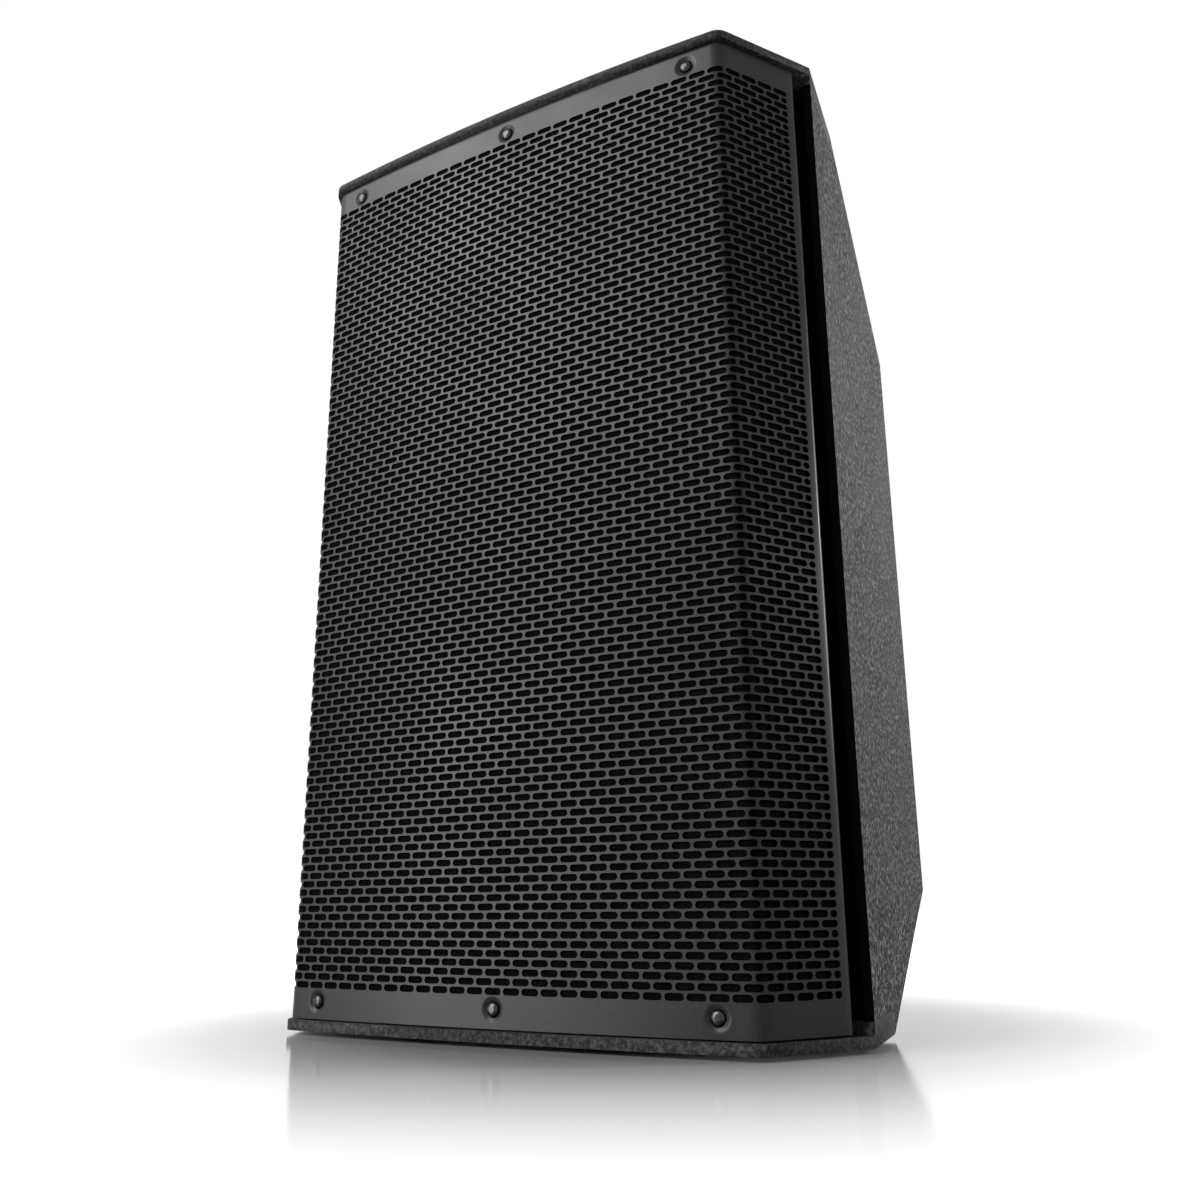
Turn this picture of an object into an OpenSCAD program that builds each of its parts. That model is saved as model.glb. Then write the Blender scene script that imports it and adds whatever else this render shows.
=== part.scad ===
// Active two-way PA speaker cabinet. Front faces -Y, up is +Z, sizes in millimetres.
// Origin: floor level, under the middle of the cabinet's width and depth.
// Inside the modules, y is counted from the crown of the bowed front and z from the underside of the cabinet.

/* [Cabinet] */
// Height over the top and bottom panels
cab_h = 700; // [660:1:900]
// Width over the front edges of the side panels
cab_w = 454; // [445:1:560]
// Depth from the crown of the bowed front to the rear face
cab_d = 400; // [380:1:500]
// Thickness of the plywood panels
board_t = 15; // [12:0.5:18]
// Thickness of the front baffle
baffle_t = 18; // [15:0.5:22]
// Radius of the bowed front
bow_r = 2400; // [1800:10:4000]
// Width of each chamfer beside the bowed front
chamfer_w = 43; // [38:1:48]
// Radius of the corner between the bow and a chamfer
bow_corner_r = 12; // [8:1:20]
// Depth of the side panels' front edges behind the crown
side_y = 79; // [70:1:90]
// Taper of each side panel towards the rear, in degrees
side_taper = 8.4; // [0:0.1:9]
// Depth at which the top and bottom start to slope
slope_y = 162; // [155:1:180]
// Height lost to each rear slope
slope_drop = 96; // [80:1:110]
// Depth of the baffle's front face behind the crown
baffle_y = 78; // [74:1:84]
// Width of the side panels' front lip
side_lip_w = 6; // [4:0.5:9]
// Depth of the groove behind that lip
side_groove_d = 14; // [8:1:20]
// Gap left at the glued joints
glue_gap = 0.1; // [0.05:0.01:0.15]

/* [Grille] */
// Thickness of the grille sheet
grille_t = 1.5; // [1:0.1:2.5]
// How far the front lips stand proud of the grille
lip_proud = 3; // [2:0.5:5]
// Thickness of the front lips above and below the grille
lip_t = 7; // [5:0.5:9]
// Depth of the rebate behind each lip
lip_depth = 20; // [19:0.5:24]
// Gap between the grille and the lips
grille_gap = 1.2; // [0.5:0.1:2]
// Chamfer length left open between the grille's edge and the side panel
grille_side_gap = 23; // [18:1:30]
// Length of the grille's return flanges
flange_len = 12; // [6:1:16]
// Radius of the bend into a return flange
flange_bend_r = 4; // [3:0.5:6]
// Thickness of the foam behind the grille
foam_t = 5; // [3:0.5:8]
// Height of the wooden cleats that hold the grille screws
cleat_h = 20; // [18:1:30]
// Sideways spacing of the grille screws
grille_screw_x = 156; // [120:1:165]
// Height of the grille screws from the nearer end of the cabinet
grille_screw_z = 20; // [19:0.5:26]

/* [Woofer] */
// Height of the woofer's centre
woofer_z = 255; // [245:1:275]
// Outer radius of the basket flange
woofer_r = 194.5; // [185:0.5:198]
// Radius of the woofer's cut-out in the baffle
woofer_hole_r = 176; // [168:0.5:178]
// Depth from the baffle's front to the front plate of the magnet
motor_z = 92; // [85:1:110]
// Outer radius of the ferrite ring
magnet_r = 90; // [75:1:100]
// Thickness of the ferrite ring
magnet_t = 25; // [20:1:30]
// Outer radius of the voice coil
coil_r = 38.6; // [32:0.1:45]
// Travel of the cone each way
cone_travel = 8; // [4:0.5:10]

/* [High frequency] */
// Height of the horn's centre
horn_z = 573; // [570:1:600]
// Width of the horn flange
horn_w = 340; // [300:1:350]
// Height of the horn flange
horn_h = 208; // [180:1:212]
// Length of the horn behind the baffle's front
horn_len = 95; // [80:1:110]
// Radius of the compression driver
driver_r = 58; // [50:1:62]
// Length of the compression driver
driver_len = 56; // [45:1:65]

/* [Ports] */
// Inner radius of a port tube
port_r = 30; // [24:0.5:31]
// Sideways place of the port tubes
port_x = 165; // [155:1:168]
// Height of the port tubes
port_z = 57; // [55:1:62]
// Length of a port tube
port_len = 66; // [50:1:70]

/* [Amplifier] */
// Width of the amplifier panel
amp_w = 230; // [220:1:240]
// Height of the amplifier panel
amp_h = 300; // [290:1:320]
// Height of the amplifier panel's centre
amp_z = 272; // [270:1:276]
// Thickness of the amplifier panel
amp_t = 2.5; // [2:0.1:3]
// Depth of the sealed housing behind the panel
housing_d = 62; // [55:1:65]
// Diameter of a control knob
knob_d = 15; // [12:0.5:18]
// Height of a control knob
knob_h = 9; // [7:0.5:10]
// Turn of a knob each way from its middle, in degrees
knob_turn = 150; // [120:5:150]
// Travel of a push button
button_travel = 2; // [1:0.1:2.5]

/* [Carrying and standing] */
// Width of the handle's opening
handle_w = 130; // [110:1:150]
// Length of the handle's opening along the slope
handle_h = 74; // [66:1:84]
// Depth of the handle's dish
handle_d = 42; // [36:1:50]
// Depth of the handle's centre behind the crown
handle_y = 292; // [280:1:300]
// Bore radius of the pole socket
pole_r = 18.2; // [17.8:0.1:18.5]
// Bore depth of the pole socket
pole_depth = 76; // [60:1:78]
// Depth of the pole socket behind the crown
pole_y = 124; // [120:1:128]
// Height of the front feet
foot_h = 3; // [2.5:0.5:6]
// Radius of the front feet
foot_r = 14; // [10:1:18]
// Sideways place of the rear feet
rear_foot_x = 110; // [90:1:125]
// Depth of the rear feet behind the crown
rear_foot_y = 300; // [260:1:320]
// Sideways place of the fly points
fly_x = 150; // [120:1:160]
// Depth of the top fly points behind the crown
fly_y = 128; // [120:1:140]
// Minor radius of the fly points' M10 thread
fly_r = 4.25; // [4.2:0.05:4.3]

/* [Hidden] */
$fn = 64;
EPS = 0.01;
ARC_STEPS = 24;
CORNER_STEPS = 5;
BIG = 1000;

// Colours
PAINT = [0.06, 0.06, 0.065];
PLY = [0.62, 0.48, 0.32];
STEEL = [0.55, 0.55, 0.57];
BLACK = [0.09, 0.09, 0.1];
CONE = [0.13, 0.13, 0.14];
FERRITE = [0.2, 0.2, 0.22];
COPPER = [0.7, 0.42, 0.25];
BOARD = [0.08, 0.3, 0.16];
WOOL = [0.85, 0.84, 0.8];

// ---- Plan of the front -------------------------------------------------------------------------------------

half_w = cab_w / 2;
bow_w = cab_w - 2 * chamfer_w;
// Corner where the bow meets the right chamfer, before rounding
corner = [bow_w / 2, bow_r - sqrt(bow_r * bow_r - bow_w * bow_w / 4)];
edge = [half_w, side_y];
chamfer_a = atan2(edge[1] - corner[1], edge[0] - corner[0]);
chamfer_len = norm(edge - corner);
along = [cos(chamfer_a), sin(chamfer_a)];
// Outward normal of the front where its tangent has turned through angle a
function out(a) = [sin(a), -cos(a)];
// Point that lies the same distance inside the bow and inside the chamfer
function inside_corner(d) =
    let (foot = corner - d * out(chamfer_a), from_c = foot - [0, bow_r], run = from_c * along)
    foot + along * (-run - sqrt(run ^ 2 - norm(from_c) ^ 2 + (bow_r - d) ^ 2));
// Angle of a point about the bow's centre
function bow_angle(p) = atan2(p[0], bow_r - p[1]);

// Bow and rounded corner of the right half, moved inwards by inset
function front_half(inset) =
    let (c = inside_corner(max(bow_corner_r, inset)), r = max(bow_corner_r - inset, 0), a = bow_angle(c))
    concat(
        [for (i = [0:ARC_STEPS / 2]) [0, bow_r] + (bow_r - inset) * out(a * i * 2 / ARC_STEPS)],
        r > 0 ? [for (i = [1:CORNER_STEPS]) c + r * out(a + (chamfer_a - a) * i / CORNER_STEPS)] : []);
// Point on the chamfer's line, moved inwards by inset, at depth y
function chamfer_at(inset, y) =
    let (p = corner - inset * out(chamfer_a)) [p[0] + (y - p[1]) / tan(chamfer_a), y];
function mirrored(points) = [for (i = [len(points) - 1:-1:0]) [-points[i][0], points[i][1]]];
// A closed outline from its right half, which starts on the middle line
function both(half) = concat(mirrored(half), [for (i = [1:len(half) - 1]) half[i]]);

// Point of the right side panel's plan: s along its outer face, w into its thickness
function side_at(s, w) =
    edge + s * [-sin(side_taper), cos(side_taper)] - w * [cos(side_taper), sin(side_taper)];
// Run along the side panel, at thickness w, to depth y
function side_run(y, w) = (y - side_y + w * sin(side_taper)) / cos(side_taper);
function side_pt(y, w) = side_at(side_run(y, w), w);

// ---- Side view of the shell: [y, z] --------------------------------------------------------------------------

slope_a = atan2(slope_drop, cab_d - slope_y);
slope_run = [cos(slope_a), sin(slope_a)];
P0 = [slope_y, 0];
P1 = [cab_d, slope_drop];
M0 = [slope_y - board_t * tan(slope_a / 2), board_t];
M1 = [cab_d - board_t, slope_drop + board_t * tan((90 - slope_a) / 2)];
slope_outline = [P0 + glue_gap * slope_run, P1 - glue_gap * slope_run, M1 - glue_gap * slope_run,
    M0 + glue_gap * slope_run];
function upper(p) = [p[0], cab_h - p[1]];
// Height of the lower slope's outer face at depth y
function slope_z(y) = (y - slope_y) * tan(slope_a);
front_z = [board_t, cab_h - board_t];
band_z = [lip_t + grille_gap, cab_h - lip_t - grille_gap];

// ---- Shared helpers ------------------------------------------------------------------------------------------

// Moves a piece from the cabinet's own zero to the origin
module placed() {
    translate([0, -cab_d / 2, foot_h]) children();
}

// Turns local +z to point rearwards at a place on the front
module facing_back(x, y, z) {
    translate([x, y, z]) rotate([-90, 0, 0]) children();
}

// Turns local +z to point out of the rear, with local +y up
module facing_rear(x, y, z) {
    translate([x, y, z]) rotate([90, 0, 180]) children();
}

// Extrudes a [y, z] side view over the whole width
module side_view(points, w = BIG) {
    translate([-w / 2, 0, 0]) rotate([90, 0, 90]) linear_extrude(w) polygon(points);
}

// Room between the side panels, from the front to the rear
module inner_room(gap = 0) {
    front = [side_pt(0, board_t)[0] - gap, 0];
    rear = [side_pt(cab_d, board_t)[0] - gap, cab_d];
    linear_extrude(cab_h) polygon([front, rear, [-rear[0], cab_d], [-front[0], 0]]);
}

module both_sides() {
    children();
    mirror([1, 0, 0]) children();
}

module ring(r_out, r_in, h) {
    difference() {
        cylinder(r = r_out, h = h);
        translate([0, 0, -1]) cylinder(r = r_in, h = h + 2);
    }
}

// Flat plate with rounded corners, centred
module rounded_plate(w, h, t, r) {
    linear_extrude(t) rounded(w, h, r);
}

module rounded(w, h, r) {
    square([w - 2 * r, h], center = true);
    square([w, h - 2 * r], center = true);
    for (x = [-1, 1], y = [-1, 1]) translate([x * (w / 2 - r), y * (h / 2 - r)]) circle(r);
}

// Screw with its head's underside at z = 0, head towards -z and shank towards +z
module screw(head_r, head_h, shank_r, shank_len) {
    difference() {
        translate([0, 0, -head_h]) cylinder(r = head_r, h = head_h);
        translate([0, 0, -head_h - EPS]) cylinder(r = head_r * 0.45, h = head_h * 0.6, $fn = 6);
    }
    cylinder(r = shank_r, h = shank_len);
}

// ---- Shell ---------------------------------------------------------------------------------------------------

plate_plan = both(concat(front_half(0), [edge, side_pt(slope_y, 0)]));
lip_plan = both(concat(front_half(lip_depth), [chamfer_at(lip_depth, side_y + 1)]));

module bottom_shape() {
    difference() {
        intersection() {
            linear_extrude(board_t) polygon(plate_plan);
            side_view([[-BIG, 0], P0, M0, [-BIG, board_t]]);
        }
        translate([0, 0, lip_t]) linear_extrude(board_t) difference() {
            translate([-BIG / 2, -BIG]) square([BIG, BIG + side_y]);
            polygon(lip_plan);
        }
    }
}

module bottom_panel() {
    color(PAINT) placed() difference() {
        bottom_shape();
        translate([0, pole_y, -1]) cylinder(r = pole_tube_r + 0.3, h = board_t + 2);
        for (p = pole_screws()) translate([p[0], p[1], -1]) cylinder(r = pole_screw_r + 0.2, h = board_t + 2);
        for (p = front_foot_places()) translate([p[0], p[1], -1]) cylinder(r = foot_screw_r, h = 1 + foot_screw_len);
    }
}

module top_panel() {
    color(PAINT) placed() difference() {
        translate([0, 0, cab_h]) mirror([0, 0, 1]) bottom_shape();
        for (x = [-fly_x, fly_x]) translate([x, fly_y, cab_h - board_t - 1])
            cylinder(r = fly_body_r + 0.05, h = board_t + 2);
    }
}

module side_shape() {
    intersection() {
        linear_extrude(cab_h) polygon([
            edge, side_pt(cab_d, 0), side_pt(cab_d, board_t), side_at(side_groove_d, board_t),
            side_at(side_groove_d, side_lip_w), side_at(0, side_lip_w)
        ]);
        side_view([
            [0, board_t + glue_gap], M0 + [0, glue_gap], P0 + [glue_gap, 0], P1, upper(P1),
            upper(P0 - [-glue_gap, 0]), upper(M0 + [0, glue_gap]), [0, cab_h - board_t - glue_gap]
        ]);
    }
}

module right_side_panel() {
    color(PAINT) placed() side_shape();
}

module left_side_panel() {
    color(PAINT) placed() mirror([1, 0, 0]) side_shape();
}

// A board between the side panels, from its [y, z] outline
module cross_board(points) {
    intersection() {
        side_view(points);
        inner_room(glue_gap);
    }
}

module front_baffle() {
    y0 = baffle_y;
    y1 = baffle_y + baffle_t;
    z0 = front_z[0] + glue_gap;
    z1 = front_z[1] - glue_gap;
    color(PAINT) placed() difference() {
        cross_board([[y0, z0], [y1, z0], [y1, z1], [y0, z1]]);
        facing_back(0, y0 - 1, woofer_z) cylinder(r = woofer_hole_r, h = baffle_t + 2);
        facing_back(0, y0 - 1, woofer_z) for (a = woofer_bolt_angles) rotate(a)
            translate([woofer_bolt_pcr, 0, 0]) cylinder(r = woofer_bolt_r + 0.1, h = baffle_t + 2);
        translate([-horn_body_w / 2 - 1, y0 - 1, horn_z - horn_body_h / 2 - 1])
            cube([horn_body_w + 2, baffle_t + 2, horn_body_h + 2]);
        for (p = horn_screw_places()) facing_back(p[0], y0 - 1, horn_z + p[1])
            cylinder(r = horn_screw_r + 0.1, h = baffle_t + 2);
        both_sides() facing_back(port_x, y0 - 1, port_z) cylinder(r = port_r + port_wall + 0.2, h = baffle_t + 2);
    }
}

module lower_rear_panel() {
    color(PAINT) placed() difference() {
        cross_board(slope_outline);
        both_sides() translate([rear_foot_x, rear_foot_y, 0]) cylinder(r = foot_screw_r, h = rear_screw_top);
    }
}

module upper_rear_panel() {
    color(PAINT) placed() difference() {
        translate([0, 0, cab_h]) mirror([0, 0, 1])
            cross_board(slope_outline);
        on_upper_slope() {
            translate([0, 0, -board_t * 2]) rounded_plate(handle_w + 2 * (handle_wall + handle_clear),
                handle_h + 2 * (handle_wall + handle_clear), board_t * 3, handle_corner_r + handle_clear);
            for (p = handle_screw_places()) translate([p[0], p[1], -board_t * 2])
                cylinder(r = handle_screw_r + 0.1, h = board_t * 3);
        }
    }
}

module rear_panel() {
    color(PAINT) placed() difference() {
        cross_board([P1, upper(P1), upper(M1), M1]);
        facing_rear(0, cab_d - board_t - 1, amp_z) rounded_plate(amp_w + 2, amp_h + 2, board_t + 2, 7);
        facing_rear(0, cab_d - board_t - 1, fly_rear_z) cylinder(r = fly_body_r + 0.05, h = board_t + 2);
    }
}

// Plywood ring behind the rear panel that the amplifier panel seats on
module amp_seat_frame() {
    color(PLY) placed() facing_rear(0, cab_d - board_t - seat_t - glue_gap, amp_z) difference() {
        rounded_plate(amp_w + 2 * seat_out, amp_h + 2 * seat_out, seat_t, 8);
        translate([0, 0, -1]) rounded_plate(amp_w - 2 * seat_in, amp_h - 2 * seat_in, seat_t + 2, 5);
        for (p = amp_screw_places()) translate([p[0], p[1], -1]) cylinder(r = amp_screw_r, h = seat_t + 2);
    }
}

module window_brace() {
    y0 = baffle_y + baffle_t + glue_gap;
    y1 = cab_d - board_t - glue_gap;
    rail = 42;
    color(PLY) placed() difference() {
        intersection() {
            translate([-BIG / 2, y0, brace_z]) cube([BIG, y1 - y0, brace_t]);
            inner_room(glue_gap);
        }
        translate([-half_w + 2 * rail, y0 + rail, brace_z - 1])
            cube([cab_w - 4 * rail, y1 - y0 - 2 * rail, brace_t + 2]);
    }
}

// Glue blocks in the four corners behind the baffle
module corner_battens() {
    s = 20;
    y = baffle_y + baffle_t + glue_gap;
    h = 200;
    color(PLY) placed() both_sides() intersection() {
        inner_room(glue_gap);
        union() {
            translate([side_pt(y, board_t)[0] - s, y, port_z + port_r + 12]) cube([BIG, s, h]);
            translate([side_pt(y, board_t)[0] - s, y, brace_z + brace_t + 8]) cube([BIG, s, h]);
        }
    }
}

// ---- Grille --------------------------------------------------------------------------------------------------

// Right half of the sheet's line, off behind its outer face: bow, corner, chamfer, bend and return flange
function grille_half(off) =
    let (inset = lip_proud + off,
         c = corner + along * (chamfer_len - grille_side_gap - flange_bend_r)
             - (lip_proud + flange_bend_r) * out(chamfer_a),
         r = flange_bend_r - off,
         last = c + r * out(chamfer_a + 90))
    concat(front_half(inset),
        [for (i = [0:CORNER_STEPS]) c + r * out(chamfer_a + 90 * i / CORNER_STEPS)],
        [last + flange_len * [-sin(chamfer_a), cos(chamfer_a)]]);

function reversed(points) = [for (i = [len(points) - 1:-1:0]) points[i]];

module grille() {
    color(PAINT) placed() difference() {
        translate([0, 0, band_z[0]]) linear_extrude(band_z[1] - band_z[0])
            polygon(concat(both(grille_half(0)), reversed(both(grille_half(grille_t)))));
        for (p = grille_screw_places()) facing_back(p[0], -1, p[1]) cylinder(r = grille_screw_r + 0.3, h = 30);
    }
}

// Flat-cut foam that follows the sheet between its solid bands
module grille_foam() {
    gap = 0.3;
    inset = lip_proud + grille_t + gap;
    end_y = edge[1] - grille_side_gap;
    function line(i) = both(concat(front_half(i), [chamfer_at(i, end_y - 6)]));
    z0 = board_t + cleat_h + 1;
    color(BLACK) placed() translate([0, 0, z0]) linear_extrude(cab_h - 2 * z0)
        polygon(concat(line(inset), reversed(line(inset + foam_t))));
}

// Wooden cleats across the top and bottom that the grille is screwed to
module grille_cleats() {
    gap = 0.3;
    inset = lip_proud + grille_t + gap;
    side = corner[0] - 12;
    depth = 18;
    color(PAINT) placed() difference() {
        for (z = [board_t + glue_gap, cab_h - board_t - glue_gap - cleat_h]) translate([0, 0, z])
            linear_extrude(cleat_h) intersection() {
                difference() {
                    translate([0, bow_r]) circle(r = bow_r - inset, $fn = 1440);
                    translate([0, bow_r]) circle(r = bow_r - inset - depth, $fn = 1440);
                }
                translate([-side, 0]) square([2 * side, 60]);
            }
        for (p = grille_screw_places()) facing_back(p[0], -1, p[1]) cylinder(r = grille_screw_r, h = 30);
    }
}

grille_screw_r = 2.5;
grille_screw_len = 16;
screw_stand_off = 0.4;
function grille_screw_places() =
    [for (x = [-grille_screw_x, 0, grille_screw_x], z = [grille_screw_z, cab_h - grille_screw_z]) [x, z]];
// Depth of the sheet's outer face at sideways place x
function sheet_y(x) = bow_r - sqrt((bow_r - lip_proud) ^ 2 - x * x);

module grille_screws() {
    color(STEEL) placed() for (p = grille_screw_places())
        facing_back(p[0], sheet_y(p[0]) - screw_stand_off, p[1]) rotate(30)
            screw(head_r = 4.6, head_h = 2.6, shank_r = grille_screw_r - 0.1, shank_len = grille_screw_len);
}

// ---- Woofer --------------------------------------------------------------------------------------------------

woofer_bolt_angles = [for (i = [0:7]) 22.5 + 45 * i];
woofer_bolt_pcr = (woofer_r + woofer_hole_r) / 2;
woofer_bolt_r = 2.5;
flange_t = 4;
gasket_t = 2;
basket_t = 4;
seat_r = 100;
front_plate_t = 10;
back_plate_t = 10;
former_t = 0.8;
neck_z = 56;
cone_rim_z = 10;
cone_rim_r = 152;

// Woofer pieces are drawn round local z, which starts at the baffle's front face and points rearwards
module woofer_axis() {
    placed() facing_back(0, baffle_y, woofer_z) children();
}

module woofer_basket() {
    color(BLACK) woofer_axis() difference() {
        rotate_extrude() polygon([
            [woofer_r, -flange_t], [woofer_r, 0], [woofer_hole_r - 1, 0], [woofer_hole_r - 4, 20], [seat_r + 6, motor_z],
            [coil_r + 6, motor_z], [coil_r + 6, motor_z - basket_t], [seat_r, motor_z - basket_t],
            [woofer_hole_r - 9, 20 - basket_t], [woofer_hole_r - 9, -flange_t]
        ]);
        for (a = woofer_bolt_angles) rotate(a) {
            translate([woofer_bolt_pcr, 0, -flange_t - 1]) cylinder(r = woofer_bolt_r + 0.1, h = flange_t + 2);
        }
        for (i = [0:5]) rotate(60 * i) translate([seat_r + 12, -basket_window / 2, 24])
            cube([70, basket_window, motor_z - 40]);
    }
}
basket_window = 62;

module woofer_gasket() {
    color(BLACK) woofer_axis() translate([0, 0, -flange_t - gasket_t]) difference() {
        ring(woofer_r - 1, woofer_hole_r + 3, gasket_t);
        for (a = woofer_bolt_angles) rotate(a) translate([woofer_bolt_pcr, 0, -1])
            cylinder(r = woofer_bolt_r + 3, h = gasket_t + 2);
    }
}

module woofer_bolts() {
    color(STEEL) woofer_axis() for (a = woofer_bolt_angles) rotate(a)
        translate([woofer_bolt_pcr, 0, -flange_t - 0.05])
            screw(head_r = 4.5, head_h = 4, shank_r = woofer_bolt_r - 0.05, shank_len = flange_t + baffle_t + 6);
}

module woofer_front_plate() {
    color(STEEL) woofer_axis() translate([0, 0, motor_z + 0.05])
        ring(magnet_r - 8, coil_r + 1.4, front_plate_t);
}

module woofer_magnet() {
    color(FERRITE) woofer_axis() translate([0, 0, motor_z + front_plate_t + 0.1])
        ring(magnet_r, coil_r + 12, magnet_t);
}

module woofer_back_plate() {
    z = motor_z + front_plate_t + magnet_t + 0.15;
    color(STEEL) woofer_axis() difference() {
        union() {
            translate([0, 0, z]) cylinder(r = magnet_r - 4, h = back_plate_t);
            translate([0, 0, motor_z]) cylinder(r = coil_r - former_t - 1.2, h = z - motor_z + 1);
        }
        translate([0, 0, motor_z - 1]) cylinder(r = 12, h = 80);
    }
}

module woofer_coil() {
    color(COPPER) woofer_axis() translate([0, 0, neck_z])
        ring(coil_r, coil_r - former_t, motor_z + front_plate_t + magnet_t - cone_travel - neck_z - 3);
}

module woofer_cone() {
    t = 1.6;
    color(CONE) woofer_axis() rotate_extrude() polygon([
        [coil_r + 0.2, neck_z + 8], [coil_r + 0.2, neck_z], [95, neck_z - 27], [cone_rim_r, cone_rim_z],
        [cone_rim_r + 4, cone_rim_z], [cone_rim_r + 4, cone_rim_z + t], [cone_rim_r + 0.6, cone_rim_z + t],
        [95.7, neck_z - 27 + t], [coil_r + 2.6, neck_z + 1], [coil_r + 2.6, neck_z + 8]
    ]);
}

cap_r = 58;
cap_rise = 15;
cap_seat_z = 46.2;

module woofer_dust_cap() {
    t = 1.2;
    sphere_r = (cap_r ^ 2 + cap_rise ^ 2) / (2 * cap_rise);
    color(CONE) woofer_axis() translate([0, 0, cap_seat_z - cap_rise]) rotate_extrude() intersection() {
        difference() {
            translate([0, sphere_r]) circle(r = sphere_r, $fn = 360);
            translate([0, sphere_r]) circle(r = sphere_r - t, $fn = 360);
        }
        square([cap_r, cap_rise]);
    }
}

// Foam half-roll between the cone's rim and the basket's flange
module woofer_surround() {
    t = 1;
    inner = cone_rim_r + 0.3;
    outer = woofer_hole_r - 10;
    mid = (inner + outer + 4) / 2;
    roll = (outer - inner - 4) / 2;
    z = cone_rim_z - 0.3 - t;
    lift = asin(t / roll);
    function arc_pt(r, a) = [mid - r * cos(a), z + t - r * sin(a)];
    color(BLACK) woofer_axis() rotate_extrude() polygon(concat(
        [[inner, z + t], [inner, z]],
        [for (i = [0:16]) arc_pt(roll, lift + (180 - 2 * lift) * i / 16)],
        [[outer, z], [outer, z + t]],
        [for (i = [16:-1:0]) arc_pt(roll - t, 180 * i / 16)]
    ));
}

// Corrugated centring disc between the voice coil and the basket's step
module woofer_spider() {
    t = 0.8;
    z = motor_z - basket_t - 3;
    steps = 6;
    inner = coil_r + 0.3;
    outer = seat_r - 4;
    pitch = (outer - inner) / steps;
    points = [for (i = [0:steps]) [inner + pitch * i, z + (i % 2) * 2]];
    color([0.75, 0.6, 0.3]) woofer_axis() rotate_extrude()
        polygon(concat(points, reversed([for (p = points) p + [0, t]])));
}

// ---- High frequency ------------------------------------------------------------------------------------------

horn_body_w = horn_w - 44;
horn_body_h = horn_h - 44;
horn_flange_t = 4;
horn_wall = 3;
horn_screw_r = 2.2;
throat_r = 19;
function horn_screw_places() = [
    for (x = [-1, 0, 1], z = [-1, 1]) [x * (horn_w / 2 - 10), z * (horn_h / 2 - 10)],
    for (x = [-1, 1]) [x * (horn_w / 2 - 10), 0]
];

// Square-mouthed flare that narrows in stages to the round throat
module flare(extra, y_end) {
    stages = [[0, 1], [0.25, 0.62], [0.6, 0.32], [1, 0.13]];
    for (i = [0:len(stages) - 2]) hull() for (s = [stages[i], stages[i + 1]])
        translate([0, 0, s[0] * y_end]) linear_extrude(0.1)
            square([horn_body_w * s[1] - 2 * horn_wall + 2 * extra,
                horn_body_h * max(s[1], 0.24) - 2 * horn_wall + 2 * extra], center = true);
}

module horn_flare() {
    color(BLACK) placed() facing_back(0, baffle_y, horn_z) difference() {
        union() {
            translate([0, 0, -horn_flange_t]) rounded_plate(horn_w, horn_h, horn_flange_t, 10);
            flare(horn_wall, horn_len - 8);
            translate([0, 0, horn_len - 8]) cylinder(r = driver_r - 12, h = 8);
        }
        translate([0, 0, -0.05]) flare(0, horn_len - 8);
        translate([0, 0, -horn_flange_t - 1]) linear_extrude(horn_flange_t + 1.01)
            square([horn_body_w - 2 * horn_wall, horn_body_h - 2 * horn_wall], center = true);
        translate([0, 0, horn_len - 12]) cylinder(r = throat_r, h = 20);
        for (p = horn_screw_places()) translate([p[0], p[1], -horn_flange_t - 1])
            cylinder(r = horn_screw_r + 0.1, h = horn_flange_t + 2);
    }
}

module compression_driver() {
    color(FERRITE) placed() facing_back(0, baffle_y + horn_len + 0.1, horn_z) {
        cylinder(r = driver_r - 10, h = 8);
        translate([0, 0, 8]) cylinder(r = driver_r, h = 30);
        translate([0, 0, 38]) cylinder(r1 = driver_r - 4, r2 = driver_r - 14, h = driver_len - 38);
    }
}

module horn_screws() {
    color(STEEL) placed() for (p = horn_screw_places())
        facing_back(p[0], baffle_y - horn_flange_t - 0.05, horn_z + p[1])
            screw(head_r = 4, head_h = 2.4, shank_r = horn_screw_r - 0.05, shank_len = horn_flange_t + 16);
}

// ---- Ports ---------------------------------------------------------------------------------------------------

port_wall = 2.5;

module port_tubes() {
    rim = 2;
    color(BLACK) placed() both_sides() facing_back(port_x, baffle_y, port_z) {
        ring(port_r + port_wall, port_r, port_len);
        translate([0, 0, -rim]) ring(port_r + port_wall + 3, port_r, rim);
    }
}

// ---- Amplifier -----------------------------------------------------------------------------------------------

seat_t = 12;
seat_in = 14;
seat_out = 12;
amp_screw_r = 1.9;
amp_face_y = cab_d - board_t + amp_t;
housing_w = amp_w - 2 * seat_in - 4;
housing_h = amp_h - 2 * seat_in - 4;
housing_wall = 1.5;
grommet_r = 4.6;
function amp_screw_places() = [
    for (x = [-1, 0, 1], z = [-1, 1]) [x * (amp_w / 2 - 7), z * (amp_h / 2 - 7)],
    for (x = [-1, 1]) [x * (amp_w / 2 - 7), 0]
];
// Places on the amplifier panel's face, seen from the rear: [right, up] from its centre
combo_places = [[-62, -22], [-22, -22]];
link_place = [20, -22];
gain_places = [[-62, -58], [-22, -58]];
master_place = [20, -58];
input_button_places = [[-62, -82], [-22, -82]];
contour_place = [8, -82];
lift_place = [32, -82];
led_places = [for (i = [0:3]) [66, -14 - 12 * i]];
inlet_place = [-50, -114];
rocker_place = [6, -114];
hole_clear = 0.3;
combo_r = 12;
button_w = 6;
shaft_r = 3;
lens_r = 1.5;
inlet_size = [27.5, 20];
rocker_size = [21, 15];
rocker_turn = 8;

// Local frame of the amplifier panel: x to the right seen from behind, y up, z out of the rear face
module amp_frame() {
    placed() facing_rear(0, amp_face_y, amp_z) children();
}

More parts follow.
